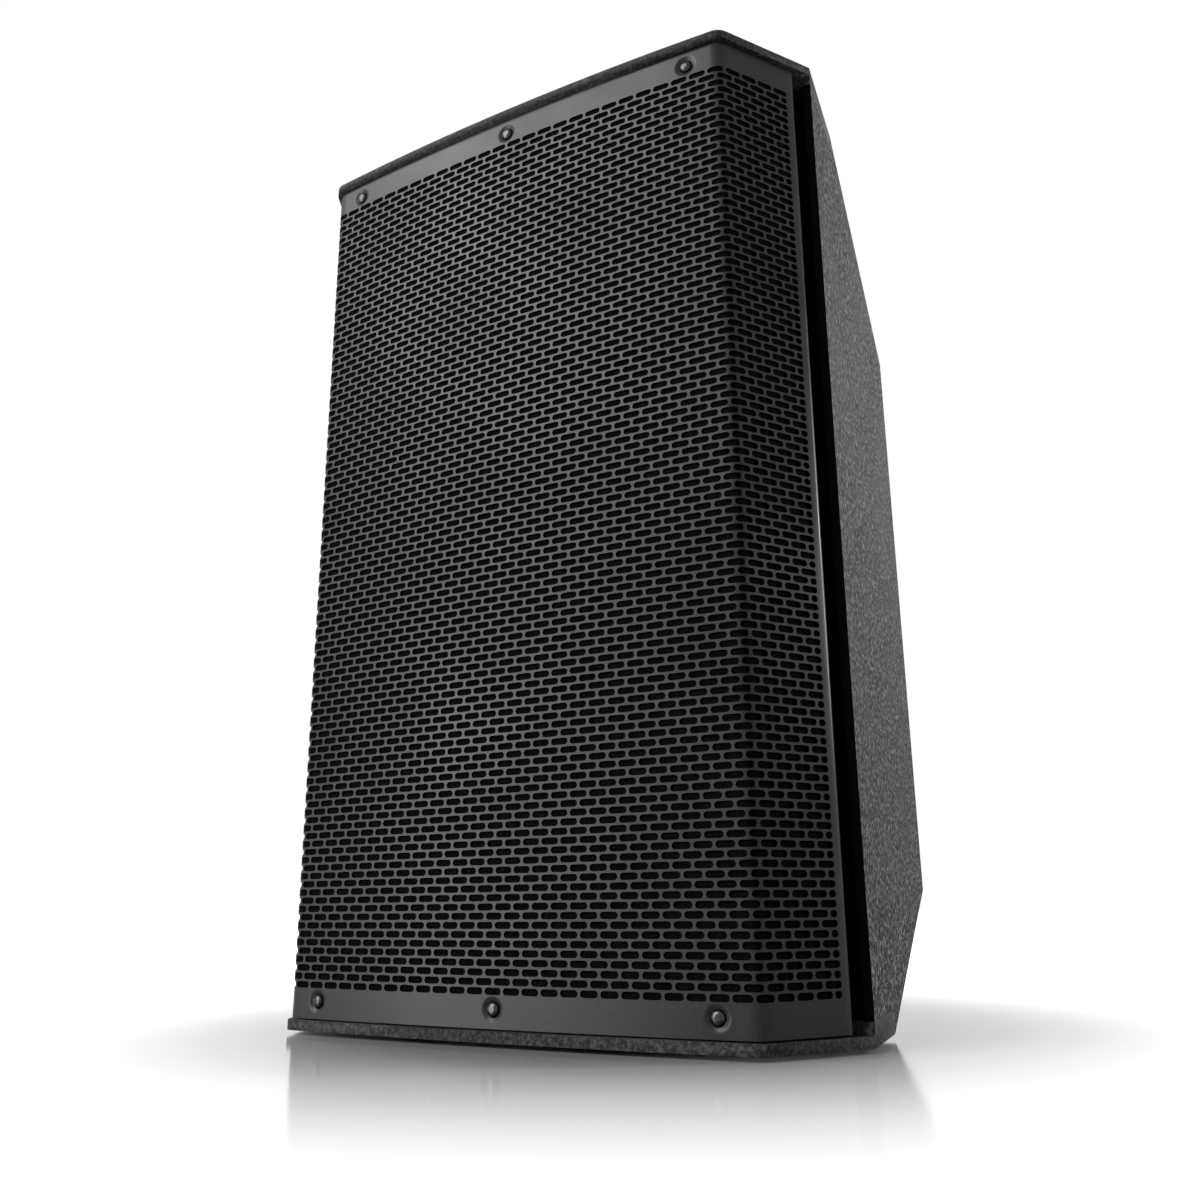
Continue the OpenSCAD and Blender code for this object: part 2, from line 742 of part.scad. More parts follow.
module at(place) {
    translate([place[0], place[1], 0]) children();
}

module amp_panel() {
    color(PAINT) amp_frame() translate([0, 0, -amp_t]) difference() {
        rounded_plate(amp_w, amp_h, amp_t, 6);
        for (p = concat(combo_places, [link_place])) at(p) translate([0, 0, -1])
            cylinder(r = combo_r + hole_clear, h = amp_t + 2);
        for (p = concat(gain_places, [master_place])) at(p) translate([0, 0, -1])
            cylinder(r = shaft_r + 0.08, h = amp_t + 2);
        for (p = concat(input_button_places, [contour_place, lift_place])) at(p) translate([0, 0, -1])
            linear_extrude(amp_t + 2) square(button_w + 2 * hole_clear, center = true);
        for (p = led_places) at(p) translate([0, 0, -1]) cylinder(r = lens_r + 0.1, h = amp_t + 2);
        at(inlet_place) translate([0, 0, -1]) linear_extrude(amp_t + 2)
            square(inlet_size + [1, 1], center = true);
        at(rocker_place) translate([0, 0, -1]) linear_extrude(amp_t + 2)
            square(rocker_size + [1, 1], center = true);
        for (p = amp_screw_places()) at(p) translate([0, 0, -1]) cylinder(r = amp_screw_r + 0.2, h = amp_t + 2);
    }
}

module amp_panel_screws() {
    color(STEEL) amp_frame() for (p = amp_screw_places()) at(p) translate([0, 0, 0.05]) rotate([180, 0, 0])
        screw(head_r = 3.6, head_h = 2, shank_r = amp_screw_r - 0.05, shank_len = amp_t + 10);
}

// Steel box that keeps the amplifier's air apart from the woofer's
module amp_housing() {
    color(STEEL) amp_frame() translate([0, 0, -amp_t - housing_d]) difference() {
        rounded_plate(housing_w, housing_h, housing_d - glue_gap, 5);
        translate([0, 0, housing_wall])
            rounded_plate(housing_w - 2 * housing_wall, housing_h - 2 * housing_wall, housing_d, 4);
        translate([70, 100, -1]) cylinder(r = grommet_r, h = housing_wall + 2);
    }
}

// Finned extrusion on the upper half of the amplifier panel
module heatsink() {
    base = 3;
    fins = 15;
    w = 196;
    h = 106;
    fin_h = 11;
    color(BLACK) amp_frame() translate([0, amp_h / 2 - 18 - h / 2, 0.05]) {
        rounded_plate(w, h, base, 3);
        for (i = [0:fins - 1]) translate([-w / 2 + 4 + i * (w - 10) / (fins - 1), -h / 2 + 2, base - EPS])
            cube([2, h - 4, fin_h - base]);
    }
}

module board(w, h, z) {
    translate([0, 0, z]) linear_extrude(1.6) square([w, h], center = true);
}

module amp_board() {
    z = -amp_t - 20;
    color(BOARD) amp_frame() translate([0, 72, 0]) {
        board(180, 96, z);
        for (x = [-60, -20, 20, 60]) translate([x, 20, z + 1.6 - EPS]) cylinder(r = 8, h = 12);
        for (x = [-60, -20, 20, 60]) translate([x - 9, -30, z + 1.6 - EPS]) cube([18, 10, 15.5]);
        for (x = [-84, 84], y = [-42, 42]) translate([x, y, z + 1.6 - EPS]) cylinder(r = 3, h = 17.9);
    }
}

module supply_board() {
    z = -amp_t - housing_d + housing_wall + 5;
    color(BOARD) amp_frame() translate([0, 20, 0]) {
        board(170, 190, z);
        translate([-45, 60, z + 1.6 - EPS]) cube([40, 30, 16]);
        for (x = [20, 45, 70]) translate([x - 10, 76, z + 1.6 - EPS]) cylinder(r = 9, h = 17);
        for (x = [-50, -10]) translate([x, -50, z + 1.6 - EPS]) cylinder(r = 14, h = 12);
        for (x = [-80, 80], y = [-90, 90]) translate([x, y, z - 4.9]) cylinder(r = 3, h = 5);
    }
}

module socket_body(pins) {
    difference() {
        union() {
            translate([0, 0, -22]) cylinder(r = combo_r, h = 22.05);
            translate([0, 0, 0.05]) rounded_plate(26, 31, 2.5, 3);
        }
        translate([0, 0, -16]) cylinder(r = 10.2, h = 20);
        translate([0, 13.2, 1.5]) cube([7.4, 4.4, 4], center = true);
    }
    if (pins) for (a = [90, 210, 330]) rotate(a) translate([5, 0, -16 - EPS]) cylinder(r = 1.2, h = 13);
}

module combo_sockets() {
    color(BLACK) amp_frame() for (p = combo_places) at(p) socket_body(false);
}

module link_socket() {
    color(BLACK) amp_frame() at(link_place) socket_body(true);
}

// Release tab above a combo socket: it is pressed in towards the socket's face
module combo_latch(i) {
    color(STEEL) amp_frame() at(combo_places[i]) translate([0, 13.2, 2.6]) cube([6.8, 3.6, 1.6], center = true);
}

module mains_inlet() {
    color(BLACK) amp_frame() at(inlet_place) {
        difference() {
            union() {
                translate([0, 0, -18]) linear_extrude(18.1) square(inlet_size, center = true);
                translate([0, 0, 0.05]) rounded_plate(50, 24, 2.5, 4);
            }
            translate([0, 0, -15]) linear_extrude(20) square([23.5, 16], center = true);
            for (x = [-20, 20]) translate([x, 0, -1]) cylinder(r = 1.7, h = 5);
        }
        for (x = [-7, 0, 7]) translate([x - 1, x == 0 ? 1.5 : -5, -15 - EPS]) cube([2, 4, 13]);
    }
}

module switch_frame() {
    wall = 1.6;
    color(BLACK) amp_frame() at(rocker_place) difference() {
        union() {
            translate([0, 0, -14]) linear_extrude(14.1) square(rocker_size, center = true);
            translate([0, 0, 0.05]) rounded_plate(rocker_size[0] + 5, rocker_size[1] + 5, 1.8, 2);
        }
        translate([0, 0, -12]) linear_extrude(20)
            square(rocker_size - [2 * wall, 2 * wall], center = true);
        translate([0, 0, rocker_pivot_z]) rotate([90, 0, 0])
            cylinder(r = rocker_pin_r + 0.05, h = rocker_size[1] - 0.8, center = true);
    }
}
rocker_pin_r = 1.2;
rocker_pivot_z = -3;

// At rest the rocker is tilted to its off side
module power_rocker() {
    w = rocker_size[0] - 5.2;
    h = rocker_size[1] - 4.2;
    color(BLACK) amp_frame() at(rocker_place) translate([0, 0, rocker_pivot_z]) rotate([0, -rocker_turn, 0]) {
        rotate([90, 0, 0]) linear_extrude(h, center = true)
            polygon([[-w / 2, 1], [-w / 2, 6.4], [0, 4.8], [w / 2, 6.4], [w / 2, 1], [2, -3], [-2, -3]]);
        rotate([90, 0, 0]) cylinder(r = rocker_pin_r, h = rocker_size[1] - 1.4, center = true);
    }
}

// Knob on its shaft, with a pointer groove
module knob() {
    difference() {
        union() {
            translate([0, 0, 0.6]) cylinder(r = knob_d / 2, h = knob_h);
            translate([0, 0, -8]) cylinder(r = shaft_r, h = 9);
        }
        translate([-0.6, 2, knob_h - 0.2]) cube([1.2, knob_d, 2]);
        for (i = [0:11]) rotate(15 + 30 * i) translate([knob_d / 2 + 0.5, 0, 2.5]) cylinder(r = 1.2, h = knob_h);
    }
}

// Push button with its stem through the panel
module button() {
    translate([0, 0, -9]) linear_extrude(12.5) square(button_w, center = true);
}

module led_lenses() {
    color([0.3, 0.8, 0.4]) amp_frame() for (p = led_places) at(p) {
        translate([0, 0, -5]) cylinder(r = lens_r, h = 5.5);
        translate([0, 0, 0.5]) sphere(r = lens_r);
    }
}

// ---- Wires and wadding ----------------------------------------------------------------------------------------

WIRE_SIDES = 8;
wire_r = 1.6;
function unit(v) = v / norm(v);
// Rings of points round a route, each square to the route
function wire_points(route) = [
    for (i = [0:len(route) - 1])
        let (t = unit(route[min(i + 1, len(route) - 1)] - route[max(i - 1, 0)]),
             u = unit(cross(t, [0.31, 0.17, 0.93])),
             v = cross(t, u))
        for (k = [0:WIRE_SIDES - 1])
            route[i] + wire_r * (u * cos(k * 360 / WIRE_SIDES) + v * sin(k * 360 / WIRE_SIDES))];
function wire_faces(n) = concat(
    [[for (k = [0:WIRE_SIDES - 1]) k]],
    [for (i = [0:n - 2], k = [0:WIRE_SIDES - 1])
        let (j = (k + 1) % WIRE_SIDES)
        [i * WIRE_SIDES + k, (i + 1) * WIRE_SIDES + k, (i + 1) * WIRE_SIDES + j, i * WIRE_SIDES + j]],
    [[for (k = [WIRE_SIDES - 1:-1:0]) (n - 1) * WIRE_SIDES + k]]);
// Point at share t of a curve pulled towards two hand-chosen points
function curve_at(a, b, c, d, t) =
    a * (1 - t) ^ 3 + b * 3 * t * (1 - t) ^ 2 + c * 3 * t * t * (1 - t) + d * t ^ 3;
module wire(a, b, c, d) {
    n = 17;
    route = [for (i = [0:n - 1]) curve_at(a, b, c, d, i / (n - 1))];
    polyhedron(points = wire_points(route), faces = wire_faces(n));
}

// One pair of leads runs from the housing's grommet to each driver
module speaker_wires() {
    start = [-70, amp_face_y - amp_t - housing_d + 1, amp_z + 100];
    color([0.5, 0.1, 0.08]) placed() {
        wire(start + [2.5, 0, 2], start + [4, -50, 10], [-130, 240, 370], [-84, baffle_y + motor_z + 20, woofer_z + 66]);
        wire(start + [-2.5, 0, -2], start + [-30, -70, 30], [-100, 320, 560],
            [-driver_r - 2.2, baffle_y + horn_len + 24, horn_z]);
    }
}

// Sheets of polyester wadding on the inner faces of the side panels
module wadding() {
    t = 18;
    gap = 0.3;
    color(WOOL) placed() both_sides() intersection() {
        linear_extrude(brace_z - 12) polygon([
            side_pt(180, board_t + gap), side_pt(330, board_t + gap), side_pt(330, board_t + t), side_pt(180, board_t + t)
        ]);
        translate([-BIG / 2, 0, 130]) cube([BIG, cab_d, BIG]);
    }
}

brace_t = 14;
brace_z = woofer_z + woofer_hole_r + 17;

// ---- Carrying and standing -----------------------------------------------------------------------------------

handle_wall = 2.5;
handle_clear = 0.5;
handle_corner_r = 11.5;
handle_rim = 12;
handle_screw_r = 2;
handle_bar_r = 9;
function handle_screw_places() = [
    for (x = [-1, 1], y = [-1, 1]) [x * (handle_w / 2 + handle_rim / 2 + 1), y * (handle_h / 2 - 8)]
];

// Local frame of the upper slope: x across, y down the slope to the rear, z out of the cabinet
module on_upper_slope() {
    translate([0, handle_y, cab_h - slope_z(handle_y)]) rotate([-slope_a, 0, 0]) children();
}

// Recessed dish with a grip bar across it
module handle_dish() {
    color(BLACK) placed() on_upper_slope() difference() {
        union() {
            translate([0, 0, 0.05]) rounded_plate(handle_w + 2 * handle_rim, handle_h + 2 * handle_rim, 2.5, 14);
            translate([0, 0, -handle_d])
                rounded_plate(handle_w + 2 * handle_wall, handle_h + 2 * handle_wall, handle_d + 1,
                    handle_corner_r);
        }
        difference() {
            translate([0, 0, handle_wall - handle_d]) rounded_plate(handle_w, handle_h, handle_d + 5,
                handle_corner_r - handle_wall);
            translate([-handle_w / 2 - 1, 0, -handle_bar_r + 1]) rotate([0, 90, 0])
                cylinder(r = handle_bar_r, h = handle_w + 2);
        }
        for (p = handle_screw_places()) translate([p[0], p[1], -3]) cylinder(r = handle_screw_r + 0.2, h = 8);
    }
}

module handle_screws() {
    color(STEEL) placed() on_upper_slope() for (p = handle_screw_places())
        translate([p[0], p[1], 2.6]) rotate([180, 0, 0])
            screw(head_r = 3.6, head_h = 2, shank_r = handle_screw_r - 0.05, shank_len = 15);
}

pole_wall = 2;
pole_tube_r = pole_r + pole_wall;
pole_flange_r = 36;
pole_flange_t = 2;
pole_mouth = pole_flange_t + 0.05;
pole_screw_r = 2.2;
function pole_screws() = [for (a = [45, 135, 225, 315]) [28.5 * cos(a), pole_y + 28.5 * sin(a)]];

module pole_socket() {
    color(STEEL) placed() translate([0, pole_y, 0]) difference() {
        union() {
            translate([0, 0, -pole_mouth]) cylinder(r = pole_flange_r, h = pole_flange_t);
            translate([0, 0, -pole_mouth]) cylinder(r = pole_tube_r, h = pole_depth + pole_wall);
        }
        translate([0, 0, -pole_mouth - 1]) cylinder(r = pole_r, h = pole_depth + 1);
        for (p = pole_screws()) translate([p[0], p[1] - pole_y, -5]) cylinder(r = pole_screw_r + 0.2, h = 10);
    }
}

module pole_socket_screws() {
    color(STEEL) placed() for (p = pole_screws()) translate([p[0], p[1], -0.1])
        cylinder(r = pole_screw_r, h = board_t + 4);
    color(STEEL) placed() for (p = pole_screws()) translate([p[0], p[1], board_t + 0.1]) difference() {
        cylinder(r = 4.5, h = 3.5, $fn = 6);
        translate([0, 0, -1]) cylinder(r = pole_screw_r - 0.2, h = 6);
    }
}

foot_screw_r = 2;
foot_screw_len = 11;
rear_screw_top = slope_z(rear_foot_y) + 12;
function front_foot_places() = [[-164, 44], [164, 44], [-164, 138], [164, 138]];

// Rubber discs with a screw moulded in
module front_feet() {
    color(BLACK) placed() for (p = front_foot_places()) translate([p[0], p[1], -foot_h]) {
        cylinder(r = foot_r, h = foot_h - 0.05);
        translate([0, 0, 1]) cylinder(r = foot_screw_r - 0.05, h = foot_h + foot_screw_len - 2);
    }
}

// Moulded stand-off blocks under the lower slope, level with the front feet
module rear_feet() {
    r = 24;
    color(BLACK) placed() both_sides() translate([rear_foot_x, rear_foot_y, -foot_h]) {
        intersection() {
            cylinder(r1 = r - 5, r2 = r, h = slope_z(rear_foot_y) + foot_h + r);
            translate([0, -rear_foot_y, foot_h])
                side_view([[0, -BIG], [BIG, -BIG], [BIG, slope_z(BIG) - 0.1], [slope_y, -0.1], [0, -0.1]], 4 * r);
        }
        translate([0, 0, 1]) cylinder(r = foot_screw_r - 0.05, h = rear_screw_top + foot_h - 3);
    }
}

fly_body_r = 6.5;
fly_rear_z = cab_h - slope_drop - 40;

// Flanged steel insert, threaded right through, its mouth flush with the outer face
module fly_insert() {
    difference() {
        union() {
            translate([0, 0, -board_t]) cylinder(r = fly_body_r, h = board_t);
            translate([0, 0, -board_t - 2]) cylinder(r = 11, h = 1.95);
            translate([0, 0, -board_t - 1]) cylinder(r = fly_body_r, h = 2);
        }
        translate([0, 0, -board_t - 3]) cylinder(r = fly_r, h = board_t + 4);
    }
}

module fly_inserts() {
    color(STEEL) placed() {
        for (x = [-fly_x, fly_x]) translate([x, fly_y, cab_h]) fly_insert();
        facing_rear(0, cab_d, fly_rear_z) fly_insert();
    }
}

// ---- Nodes ---------------------------------------------------------------------------------------------------

top_panel();
bottom_panel();
right_side_panel();
left_side_panel();
front_baffle();
rear_panel();
upper_rear_panel();
lower_rear_panel();
window_brace();
corner_battens();
amp_seat_frame();
grille();
grille_foam();
grille_cleats();
grille_screws();
woofer_basket();
woofer_gasket();
woofer_front_plate();
woofer_magnet();
woofer_back_plate();
woofer_coil();
woofer_cone();
woofer_dust_cap();
woofer_surround();
woofer_spider();
woofer_bolts();
horn_flare();
compression_driver();
horn_screws();
port_tubes();
amp_panel();
amp_housing();
heatsink();
amp_board();
supply_board();
amp_panel_screws();
combo_sockets();
combo_latch(0);  // combo_latch_1
combo_latch(1);  // combo_latch_2
link_socket();
mains_inlet();
switch_frame();
power_rocker();
color(BLACK) amp_frame() at(gain_places[0]) knob();  // gain_knob_1
color(BLACK) amp_frame() at(gain_places[1]) knob();  // gain_knob_2
color(BLACK) amp_frame() at(master_place) knob();  // master_knob
color(STEEL) amp_frame() at(input_button_places[0]) button();  // input_button_1
color(STEEL) amp_frame() at(input_button_places[1]) button();  // input_button_2
color(STEEL) amp_frame() at(contour_place) button();  // contour_button
color(STEEL) amp_frame() at(lift_place) button();  // lift_button
led_lenses();
speaker_wires();
wadding();
handle_dish();
handle_screws();
pole_socket();
pole_socket_screws();
front_feet();
rear_feet();
fly_inserts();
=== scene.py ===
"""Visual model of an active two-way PA speaker cabinet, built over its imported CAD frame.

Sizes are in metres, with the front grille towards -Y, up along +Z and the floor at Z = 0.
"""

from __future__ import annotations

import logging
import math
from dataclasses import dataclass, field
from enum import Enum
from typing import Any, Callable, Iterable

import bmesh
import bpy
from mathutils import Matrix, Vector


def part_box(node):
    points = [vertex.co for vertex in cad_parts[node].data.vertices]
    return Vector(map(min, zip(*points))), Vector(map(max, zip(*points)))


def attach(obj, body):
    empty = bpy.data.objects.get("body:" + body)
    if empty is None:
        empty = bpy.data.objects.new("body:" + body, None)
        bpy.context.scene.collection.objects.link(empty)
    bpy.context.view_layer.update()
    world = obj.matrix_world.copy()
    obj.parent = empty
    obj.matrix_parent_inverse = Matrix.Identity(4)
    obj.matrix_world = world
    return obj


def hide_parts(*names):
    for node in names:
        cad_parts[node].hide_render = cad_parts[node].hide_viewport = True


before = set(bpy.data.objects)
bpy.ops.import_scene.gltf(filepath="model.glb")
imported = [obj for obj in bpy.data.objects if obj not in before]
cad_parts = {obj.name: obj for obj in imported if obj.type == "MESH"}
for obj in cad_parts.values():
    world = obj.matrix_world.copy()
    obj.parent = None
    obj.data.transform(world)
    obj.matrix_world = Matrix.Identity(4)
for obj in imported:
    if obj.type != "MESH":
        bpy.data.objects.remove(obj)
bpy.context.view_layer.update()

log = logging.getLogger("pa_speaker")

MM = 0.001
Place = tuple[float, float, float]

# How a pattern's height and the slow clouds are spread over colour and gloss.
FLECK_START, FLECK_REACH, FLECK_WIDTH = 0.42, 0.25, 0.35
CLOUD_LOW, CLOUD_HIGH = 0.3, 0.7
BANDS_PER_SCALE = 3.2  # a band texture's bands in one metre at a scale of 1


# ---- Finishes ----------------------------------------------------------------------------------


def linear(hex_colour: str) -> tuple[float, float, float, float]:
    """Turns an sRGB hex colour into linear light.

    Args:
        hex_colour: six hex digits, with or without a leading #.

    Returns:
        Red, green, blue and an alpha of 1.
    """
    digits = hex_colour.lstrip("#")
    values = [int(digits[i : i + 2], 16) / 255 for i in (0, 2, 4)]
    lin = [v / 12.92 if v <= 0.04045 else ((v + 0.055) / 1.055) ** 2.4 for v in values]
    return (lin[0], lin[1], lin[2], 1.0)


def add_node(
    tree: bpy.types.NodeTree, kind: str, inputs: dict[Any, Any] | None = None, **settings: Any
) -> bpy.types.Node:
    """Adds a node, with its settings, values and incoming links.

    Args:
        tree: the node tree to add to.
        kind: the node's type name.
        inputs: input name or number to a value, or to the output socket that feeds it.
        settings: attributes of the node itself.

    Returns:
        The new node.
    """
    node = tree.nodes.new(kind)
    for name, value in settings.items():
        setattr(node, name, value)
    for key, value in (inputs or {}).items():
        if isinstance(value, bpy.types.NodeSocket):
            tree.links.new(value, node.inputs[key])
        else:
            node.inputs[key].default_value = value
    return node


class Pattern(Enum):
    """Kinds of surface relief."""

    GRAIN = "fine noise"
    PEBBLE = "rounded cells"
    BRUSHED = "fine lines one way"
    WEAVE = "crossed threads"
    PLIES = "stacked veneers"


@dataclass(frozen=True)
class Finish:
    """One real surface: its colours, its gloss and its relief.

    grain_mm is the size of the relief, bump_mm its height. wear_mm is the size of the slow clouds
    of dust and handling that vary the colour and the gloss.
    """

    name: str
    colour: str
    fleck_and_glint: str
    roughness: float
    pattern: Pattern = Pattern.GRAIN
    grain_mm: float = 0.8
    bump_mm: float = 0.05
    bump: float = 0.4
    fleck_share: float = 0.5
    rough_spread: float = 0.08
    metallic: float = 0.0
    ior: float = 1.5
    specular: float = 0.5
    stretch: Place = (1.0, 1.0, 1.0)
    wear_mm: float = 90.0
    wear: float = 0.25
    glow: float = 0.0

    def relief(self, tree: bpy.types.NodeTree, place: bpy.types.NodeSocket) -> bpy.types.NodeSocket:
        """Makes the height pattern.

        Args:
            tree: the material's node tree.
            place: Object coordinates, already stretched.

        Returns:
            A socket from 0 to 1.
        """
        scale = 1000.0 / self.grain_mm
        if self.pattern is Pattern.PEBBLE:
            cells = add_node(
                tree,
                "ShaderNodeTexVoronoi",
                {"Vector": place, "Scale": scale, "Randomness": 1.0},
                feature="SMOOTH_F1",
            )
            return cells.outputs["Distance"]
        if self.pattern in (Pattern.WEAVE, Pattern.PLIES):
            bands = scale / BANDS_PER_SCALE
            waves = []
            for direction in ("X", "Z") if self.pattern is Pattern.WEAVE else ("X",):
                wave = add_node(
                    tree,
                    "ShaderNodeTexWave",
                    {"Vector": place, "Scale": bands, "Distortion": 0.6, "Detail": 1.0},
                    bands_direction=direction,
                )
                waves.append(wave.outputs["Fac"])
            if len(waves) == 1:
                return waves[0]
            joined = add_node(
                tree, "ShaderNodeMath", {0: waves[0], 1: waves[1]}, operation="MULTIPLY"
            )
            return joined.outputs["Value"]
        noise = add_node(
            tree,
            "ShaderNodeTexNoise",
            {"Vector": place, "Scale": scale, "Detail": 4.0, "Roughness": 0.6},
        )
        return noise.outputs["Fac"]

    def material(self) -> bpy.types.Material:
        """Returns the finish's material, made on first use."""
        made = bpy.data.materials.get(self.name)
        if made is not None:
            return made
        made = bpy.data.materials.new(self.name)
        made.use_nodes = True
        tree = made.node_tree
        shader = tree.nodes["Principled BSDF"]
        coords = add_node(tree, "ShaderNodeTexCoord")
        placed = add_node(
            tree,
            "ShaderNodeMapping",
            {"Vector": coords.outputs["Object"], "Scale": self.stretch},
        )
        height = self.relief(tree, placed.outputs["Vector"])
        low = max(0.0, FLECK_START - FLECK_REACH * self.fleck_share)
        # The pattern's high points take the lighter colour: real flecks in most finishes, painted
        # glints on the splatter paints.
        fleck_and_glint_mask = add_node(
            tree,
            "ShaderNodeMapRange",
            {"Value": height, "From Min": low, "From Max": low + FLECK_WIDTH},
            interpolation_type="SMOOTHSTEP",
        )
        clouds = add_node(
            tree,
            "ShaderNodeTexNoise",
            {"Vector": coords.outputs["Object"], "Scale": 1000.0 / self.wear_mm, "Detail": 5.0},
        )
        mixed = add_node(
            tree,
            "ShaderNodeMix",
            {0: fleck_and_glint_mask.outputs["Result"], 6: linear(self.colour), 7: linear(self.fleck_and_glint)},
            data_type="RGBA",
        )
        return self._finish(tree, shader, mixed, height, clouds, made)

    def _finish(
        self,
        tree: bpy.types.NodeTree,
        shader: bpy.types.Node,
        mixed: bpy.types.Node,
        height: bpy.types.NodeSocket,
        clouds: bpy.types.Node,
        made: bpy.types.Material,
    ) -> bpy.types.Material:
        """Wires colour, gloss and relief into the shader and returns the material."""
        worn = add_node(
            tree,
            "ShaderNodeMapRange",
            {
                "Value": clouds.outputs["Fac"],
                "From Min": CLOUD_LOW,
                "From Max": CLOUD_HIGH,
                "To Min": 1.0 - self.wear,
                "To Max": 1.0 + self.wear,
            },
        )
        tinted = add_node(
            tree,
            "ShaderNodeVectorMath",
            {0: mixed.outputs[2], "Scale": worn.outputs["Result"]},
            operation="SCALE",
        )
        tree.links.new(tinted.outputs["Vector"], shader.inputs["Base Color"])
        gloss = add_node(
            tree,
            "ShaderNodeMapRange",
            {
                "Value": clouds.outputs["Fac"],
                "From Min": CLOUD_LOW,
                "From Max": CLOUD_HIGH,
                "To Min": max(0.03, self.roughness - self.rough_spread),
                "To Max": min(1.0, self.roughness + self.rough_spread),
            },
        )
        tree.links.new(gloss.outputs["Result"], shader.inputs["Roughness"])
        bump = add_node(
            tree,
            "ShaderNodeBump",
            {"Height": height, "Strength": self.bump, "Distance": self.bump_mm * MM},
        )
        tree.links.new(bump.outputs["Normal"], shader.inputs["Normal"])
        shader.inputs["Metallic"].default_value = self.metallic
        shader.inputs["IOR"].default_value = self.ior
        shader.inputs["Specular IOR Level"].default_value = self.specular
        if self.glow > 0:
            shader.inputs["Emission Color"].default_value = linear(self.fleck_and_glint)
            shader.inputs["Emission Strength"].default_value = self.glow
        return made

    def dress(self, *pieces: bpy.types.Object) -> None:
        """Gives the finish to whole objects."""
        for piece in pieces:
            piece.data.materials.clear()
            piece.data.materials.append(self.material())


# Birch plywood rolled with a water-based splatter paint: coarse dull pebbles, their tops given a
# lighter grey as painted glints.
SPLATTER_PAINT = Finish(
    "splatter paint on plywood", "101011", "3a3a3c", roughness=0.6, grain_mm=2.6, bump_mm=0.5,
    bump=0.8, fleck_share=0.2, specular=0.1
)
# The same paint on the side panels, rolled from front to back, so that its pebbles run that way.
# They are drawn half as large again as their real 2 mm, or they would not show at a low angle.
# Its base and pebble tops are lighter than the same paint on the other boards: painted light for
# the side lamp, with painted glints.
ROLLED_PAINT_LIT_COPY = Finish(
    "rolled splatter paint on plywood, painted lighter", "1c1c1d", "7c7c7e", roughness=0.8, grain_mm=3.0,
    bump_mm=0.6, bump=0.9, fleck_share=0.0, specular=0.04, stretch=(1.0, 0.66, 1.0)
)
# Perforated steel sheet under a satin black powder coat: smooth, with a faint orange peel.
POWDER_COAT = Finish(
    "powder-coated steel sheet", "1c1c1e", "242426", roughness=0.36, grain_mm=1.4, bump_mm=0.02,
    bump=0.3, specular=0.13
)
# Open-cell acoustic foam, dyed black: takes up almost all light.
ACOUSTIC_FOAM = Finish(
    "open-cell foam", "030303", "080808", roughness=0.95, pattern=Pattern.PEBBLE, grain_mm=1.2,
    bump_mm=0.6, bump=0.8, specular=0.02
)
# Black zinc machine screws: dark and fairly glossy, worn bright where the driver turns.
BLACK_ZINC = Finish(
    "black zinc screws", "2a2a2c", "3c3c3e", roughness=0.3, grain_mm=0.5, bump_mm=0.01, bump=0.3,
    metallic=1.0
)
# Plywood painted matt black where it stays inside; on the side panels' front lips it is painted
# shade.
BLACK_PLY_AND_LIP_SHADE = Finish(
    "black plywood and painted lip shade", "030303", "060606", roughness=0.95, grain_mm=1.5, bump_mm=0.1,
    specular=0.02
)
# Bare birch plywood: pale veneers, stacked 1.4 mm apart.
BIRCH_PLY = Finish(
    "birch plywood", "b08a5a", "d9bb8c", roughness=0.6, pattern=Pattern.PLIES, grain_mm=1.4,
    bump=0.3, ior=1.45
)
# Pressure die-cast aluminium under black enamel.
CAST_ENAMEL = Finish(
    "enamelled casting", "1b1b1d", "2a2a2c", roughness=0.45, grain_mm=1.2, bump_mm=0.06
)
# Zinc-plated pressed steel: pale, with a fine spangle.
ZINC_STEEL = Finish(
    "zinc-plated steel", "a9adb2", "c3c7cb", roughness=0.32, pattern=Pattern.PEBBLE, grain_mm=3.0,
    bump_mm=0.01, bump=0.15, metallic=1.0
)
# Sintered ferrite: dark grey and slightly gritty.
FERRITE = Finish(
    "sintered ferrite", "2c2c2e", "3a3a3d", roughness=0.55, grain_mm=0.6, bump_mm=0.03, bump=0.3
)
# Enamelled copper wire on a polyimide former.
COPPER = Finish(
    "enamelled copper", "b0622e", "d08a4e", roughness=0.28, pattern=Pattern.BRUSHED, grain_mm=0.5,
    bump=0.5, metallic=1.0, stretch=(0.05, 1.0, 0.05)
)
# Pressed paper pulp with a dark wet-strength treatment: fibrous.
PULP = Finish(
    "treated paper pulp", "18181a", "303033", roughness=0.75, grain_mm=1.0, bump_mm=0.12, bump=0.6
)
# Cotton cloth in phenolic resin, woven about one thread a millimetre.
RESIN_CLOTH = Finish(
    "resined cotton", "8a6a34", "b8934e", roughness=0.7, pattern=Pattern.WEAVE, grain_mm=1.0,
    bump_mm=0.15, bump=0.5
)
# Doped cloth of the cone's surround.
DOPED_CLOTH = Finish(
    "doped cloth", "121213", "26262a", roughness=0.5, pattern=Pattern.WEAVE, grain_mm=0.9,
    bump_mm=0.1, bump=0.5
)
# Moulded ABS with a fine spark-eroded grain.
MOULDED_ABS = Finish(
    "moulded abs", "161618", "212123", roughness=0.5, pattern=Pattern.PEBBLE, grain_mm=0.9,
    bump_mm=0.03, bump=0.35
)
# Fine-textured powder coat of the control panel.
PANEL_COAT = Finish(
    "panel powder coat", "18181a", "29292b", roughness=0.55, pattern=Pattern.PEBBLE, bump=0.5
)
